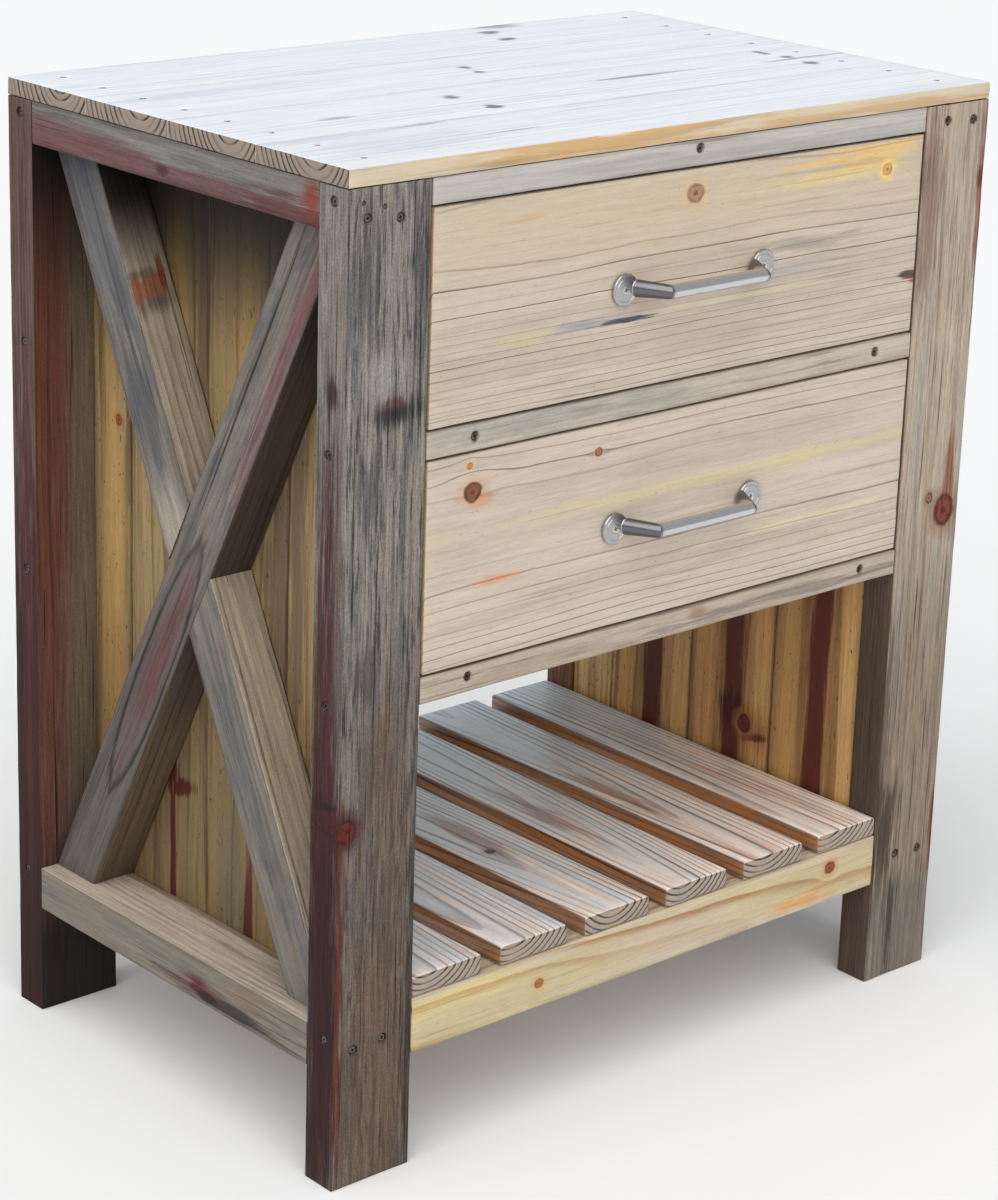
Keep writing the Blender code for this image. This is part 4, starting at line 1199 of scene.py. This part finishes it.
def make_drawers():
    face = "-Y"
    slate = (0.26, 0.28, 0.32)
    looks = {
        "upper": dict(
            pith=(0.84, 0.085),
            knots=(
                knot_at(0.301, 0.167, 0.0085, (0.68, 0.54, 0.42), (0.82, 0.7, 0.52), 0.5, 0.7),
                knot_at(0.551, 0.161, 0.0056, (0.84, 0.66, 0.4), (0.93, 0.79, 0.48), 0.35, 0.9),
            ),
            spots=on_side(
                face,
                (0.3, 0.165, 0.6, 0.06, (0.785, 0.718, 0.61), 0.75, 0.5, 0.9),
                (0.485, 0.163, 0.085, 0.008, (0.86, 0.78, 0.55), 0.75, 1.2),
                (0.53, 0.176, 0.06, 0.012, (0.9, 0.75, 0.47), 0.8, 1.2),
                (0.455, 0.176, 0.05, 0.004, (0.88, 0.72, 0.45), 0.65, 1.2),
                (0.49, 0.171, 0.07, 0.003, (0.66, 0.6, 0.5), 0.6, 1.3, 0.9),
                (0.106, 0.168, 0.024, 0.004, (0.8, 0.64, 0.48), 0.5, 1.1, 1.0),
                (0.104, 0.064, 0.035, 0.006, (0.8, 0.76, 0.55), 0.6, 1.2, 1.0),
                (0.4, 0.066, 0.18, 0.0035, (0.87, 0.84, 0.68), 0.6, 1.2, 1.0),
                (0.182, 0.066, 0.045, 0.0045, (0.58, 0.6, 0.63), 0.75, 1.3, 0.8),
                (0.215, 0.064, 0.028, 0.0038, slate, 0.95, 1.4, 0.5),
                # Painted shadow of the handle: grey streaks to the right of it
                (0.447, 0.104, 0.06, 0.006, (0.57, 0.54, 0.51), 0.8, 1.3, 0.9),
                (0.43, 0.082, 0.05, 0.006, (0.64, 0.64, 0.64), 0.7, 1.3, 0.9),
                (0.5, 0.07, 0.13, 0.04, (0.72, 0.66, 0.62), 0.6, 0.8, 1.0),
                (0.592, 0.056, 0.014, 0.005, (0.26, 0.2, 0.18), 0.9, 1.2, 0.4),
                (0.597, 0.049, 0.008, 0.0025, (0.7, 0.4, 0.3), 0.9, 0.8),
            ),
        ),
        "lower": dict(
            pith=(0.62, 0.13),
            knots=(
                knot_at(0.051, 0.155, 0.0085, (0.52, 0.34, 0.22), (0.8, 0.6, 0.46), 0.9),
                knot_at(0.197, 0.166, 0.0038, (0.66, 0.46, 0.36), (0.82, 0.68, 0.56), 0.8),
                knot_at(0.047, 0.179, 0.003, (0.82, 0.56, 0.34), (0.88, 0.72, 0.54), 0.4),
            ),
            spots=on_side(
                face,
                (0.4, 0.118, 0.34, 0.0065, (0.85, 0.79, 0.58), 0.55, 1.3, 1.0),
                (0.062, 0.146, 0.014, 0.006, (0.8, 0.58, 0.44), 0.7, 0.8),
                (0.08, 0.072, 0.03, 0.004, (0.84, 0.62, 0.48), 0.85, 1.1),
                (0.45, 0.055, 0.13, 0.0035, (0.88, 0.85, 0.68), 0.6, 1.2, 1.0),
                (0.52, 0.1, 0.08, 0.012, (0.8, 0.74, 0.7), 0.6, 0.7),
            ),
        ),
    }
    for number, (drawer, change) in enumerate(looks.items()):
        ply = f"drawer_{drawer}_bottom"
        low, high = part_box(ply)
        gap = Vector((GROOVE_GAP,) * 3)
        front = board(f"drawer_{drawer}_front", "X", "Y", 101 + number, nick=0.0003, **{**DRAWER, **change})
        pieces = [front]
        for seed, part in enumerate(("side_left", "side_right")):
            pieces.append(board(f"drawer_{drawer}_{part}", "Y", "X", 105 + 3 * number + seed, **BOX_PINE))
        for piece in pieces:
            carve(piece, plank(low - gap, high + gap, "X", 0.0001, pitch=2.0))
        holes = bmesh.new()
        for side in ("left", "right"):
            screw_low, screw_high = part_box(f"handle_screw_{drawer}_{side}")
            middle = (screw_low + screw_high) / 2
            rod(holes, (middle.x, screw_high.y + 0.0005, middle.z), (0, -1, 0), (0.0023, 0.0023), (0, 0.03))
        carve(front, holes)
        board(f"drawer_{drawer}_back", "X", "Y", 112 + number, **BOX_PINE)
        board(ply, "X", "Z", 115 + number, ease=0.0003, nick=0.0, **PLY)
        for side in ("left", "right"):
            node = f"runner_{drawer}_{side}"
            low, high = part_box(node)
            material = wood(f"{node}_wood", low, high, "Y", "Z", 120 + number, **{**BOX_PINE, "fibre": 0.2})
            solid = frame["nodes"][node]
            solid.data.materials.clear()
            solid.data.materials.append(material)


# ---------------------------------------------------------------- handles
ARM_ROOT = 0.012         # how far inside a screw's middle an arm leaves its foot
ARM_RUN = 0.016          # from there to the mitre, along the handle


def make_handles():
    low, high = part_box("handle_upper")
    left_screw, right_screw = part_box("handle_screw_upper_left")[0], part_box("handle_screw_upper_right")[0]
    spacing = right_screw.x - left_screw.x
    # Where the handle's arms lie, for their painted dark reflection
    dark_arm_reflection = dict(middle=(low.x + high.x) / 2, mitre=spacing / 2 - ARM_ROOT - ARM_RUN, base=high.y)
    along_bar = (30.0, 1600.0, 1600.0)
    satin = steel("satin_steel_bar", (0.82, 0.82, 0.825), 0.25, brush=along_bar, uneven=0.1, dark_arm_reflection=dark_arm_reflection)
    screw_metal = steel("handle_screw_steel", (0.8, 0.79, 0.76), 0.28)
    for drawer in ("upper", "lower"):
        node = f"handle_{drawer}"
        maker = bent_bar(node, drawer)
        bar = finish_piece(f"{node}_bar", maker, satin, node, angle=28)
        for side in ("left", "right"):
            foot = bmesh.new()
            low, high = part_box(f"handle_screw_{drawer}_{side}")
            middle = (low + high) / 2
            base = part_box(node)[1].y
            radii = (0.014, 0.0145, 0.0145, 0.0139, 0.0112, 0.011, 0.0103, 0.01, 0.005)
            depths = (0, 0.0004, 0.0031, 0.0036, 0.0036, 0.0033, 0.0033, 0.0036, 0.0036)
            rod(foot, (middle.x, base, middle.z), (0, -1, 0), radii, depths, 64)
            bmesh.ops.recalc_face_normals(foot, faces=foot.faces)
            carve(bar, foot, "UNION")
            sink = bmesh.new()
            face = (middle.x, low.y, middle.z)
            rod(sink, face, (0, -1, 0), (0.0023, 0.0023, 0.0043, 0.006), (-0.006, -0.002, 0.0, 0.0017), 32)
            bmesh.ops.recalc_face_normals(sink, faces=sink.faces)
            carve(bar, sink)
            screw = bmesh.new()
            long = high.y - low.y
            radii = (0.0003, 0.0019, 0.0019, 0.0039, 0.004, 0.0037)
            depths = (-long, -long + 0.003, -0.0022, -0.0002, -0.0001, 0.0)
            rod(screw, face, (0, -1, 0), radii, depths, 40)
            name = f"handle_screw_{drawer}_{side}"
            made = finish_piece(f"{name}_metal", screw, screw_metal, name)
            recess = bmesh.new()
            cross_slot(recess, Vector(face), Vector((0, -1, 0)), 0.004)
            carve(made, recess)
        bar.data.shade_smooth()
        bar.data.set_sharp_from_angle(angle=math.radians(28))


def bent_bar(node, drawer, sides=48):
    """The handle's bar: an oval arm from each foot, a tight bend at each mitre, and a round grip."""
    low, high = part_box(node)
    screws = [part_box(f"handle_screw_{drawer}_{side}") for side in ("left", "right")]
    centre = sum((corner for pair in screws for corner in pair), Vector()) / 4
    spacing = screws[1][0].x - screws[0][0].x
    base = high.y
    grip_radius = 0.0065
    stand = base - low.y - grip_radius + 0.0003
    root_x = spacing / 2 - ARM_ROOT
    mitre = Vector((root_x - ARM_RUN, stand))
    bend = math.atan2(stand - 0.0018, ARM_RUN)
    mitred = 0.985 * grip_radius / math.cos(bend / 2)
    arm = Vector((math.cos(bend), math.sin(bend)))
    stations = []
    for sign in (-1, 1):
        run = [
            (Vector((root_x, 0.0018)), math.pi / 2, 0.0056 / math.sin(bend), 0.008),
            (mitre + 0.0024 * Vector((arm.x, -arm.y)), bend, 0.0064, 0.0067),
            (mitre + Vector((-0.0002, -0.0003)), bend / 2, mitred, grip_radius),
            (mitre - Vector((0.0024, 0)), 0.0, grip_radius, grip_radius),
        ]
        if sign == 1:
            run.reverse()
        for place, turn, half, tall in run:
            flat = Vector((-sign * math.sin(turn), math.cos(turn), 0))
            middle = Vector((centre.x + sign * place.x, base - place.y, centre.z))
            stations.append((middle, flat * half, Vector((0, 0, tall))))
    maker = bmesh.new()
    loops = []
    for middle, flat, upright in stations:
        turns = [2 * math.pi * i / sides for i in range(sides)]
        loops.append([maker.verts.new(middle + flat * math.cos(t) + upright * math.sin(t)) for t in turns])
    skin(maker, loops)
    return maker


# ---------------------------------------------------------------- camera, light and floor
CAMERA_PLACE = (-1.9862, -2.2047, 1.4320)
CAMERA_ANGLES = (72.111, -1.942, -41.610)
CAMERA_LENS = 97.2
CAMERA_SHIFT = (-0.0183, -0.0533)


def make_camera():
    data = bpy.data.cameras.new("camera")
    data.lens = CAMERA_LENS
    data.sensor_width = 36.0
    data.shift_x, data.shift_y = CAMERA_SHIFT
    camera = bpy.data.objects.new("camera", data)
    camera.location = CAMERA_PLACE
    camera.rotation_euler = [math.radians(angle) for angle in CAMERA_ANGLES]
    bpy.context.scene.collection.objects.link(camera)
    bpy.context.scene.camera = camera


def make_light():
    world = bpy.data.worlds.new("soft_sky")
    world.use_nodes = True
    world.node_tree.nodes["Background"].inputs["Color"].default_value = (0.93, 0.96, 1.0, 1.0)
    world.node_tree.nodes["Background"].inputs["Strength"].default_value = 0.46
    bpy.context.scene.world = world
    data = bpy.data.lights.new("softbox", "SUN")
    data.energy = 2.9
    data.angle = math.radians(80)
    data.color = (1.0, 0.985, 0.96)
    lamp = bpy.data.objects.new("softbox", data)
    lamp.rotation_euler = Vector((-0.55, -0.45, 0.85)).to_track_quat("Z", "Y").to_euler()
    bpy.context.scene.collection.objects.link(lamp)


def make_floor():
    maker = bmesh.new()
    bmesh.ops.create_circle(maker, cap_ends=True, segments=96, radius=40.0)
    sh = Shader("pale_floor")
    sh.surface.inputs["Base Color"].default_value = (0.84, 0.845, 0.85, 1.0)
    sh.surface.inputs["Roughness"].default_value = 0.9
    floor = new_object("floor", maker, sh.material)


# ---------------------------------------------------------------- build
make_camera()
make_light()
make_floor()
plan_screws()
make_top()
make_legs()
make_rails()
make_side_rails()
make_panels()
make_braces()
make_shelf()
make_drawers()
make_handles()
make_screw_heads(steel("frame_screw_steel", (0.45, 0.43, 0.4), 0.45, (0.2, 0.15, 0.12)))
bpy.context.scene.view_settings.view_transform = "Standard"
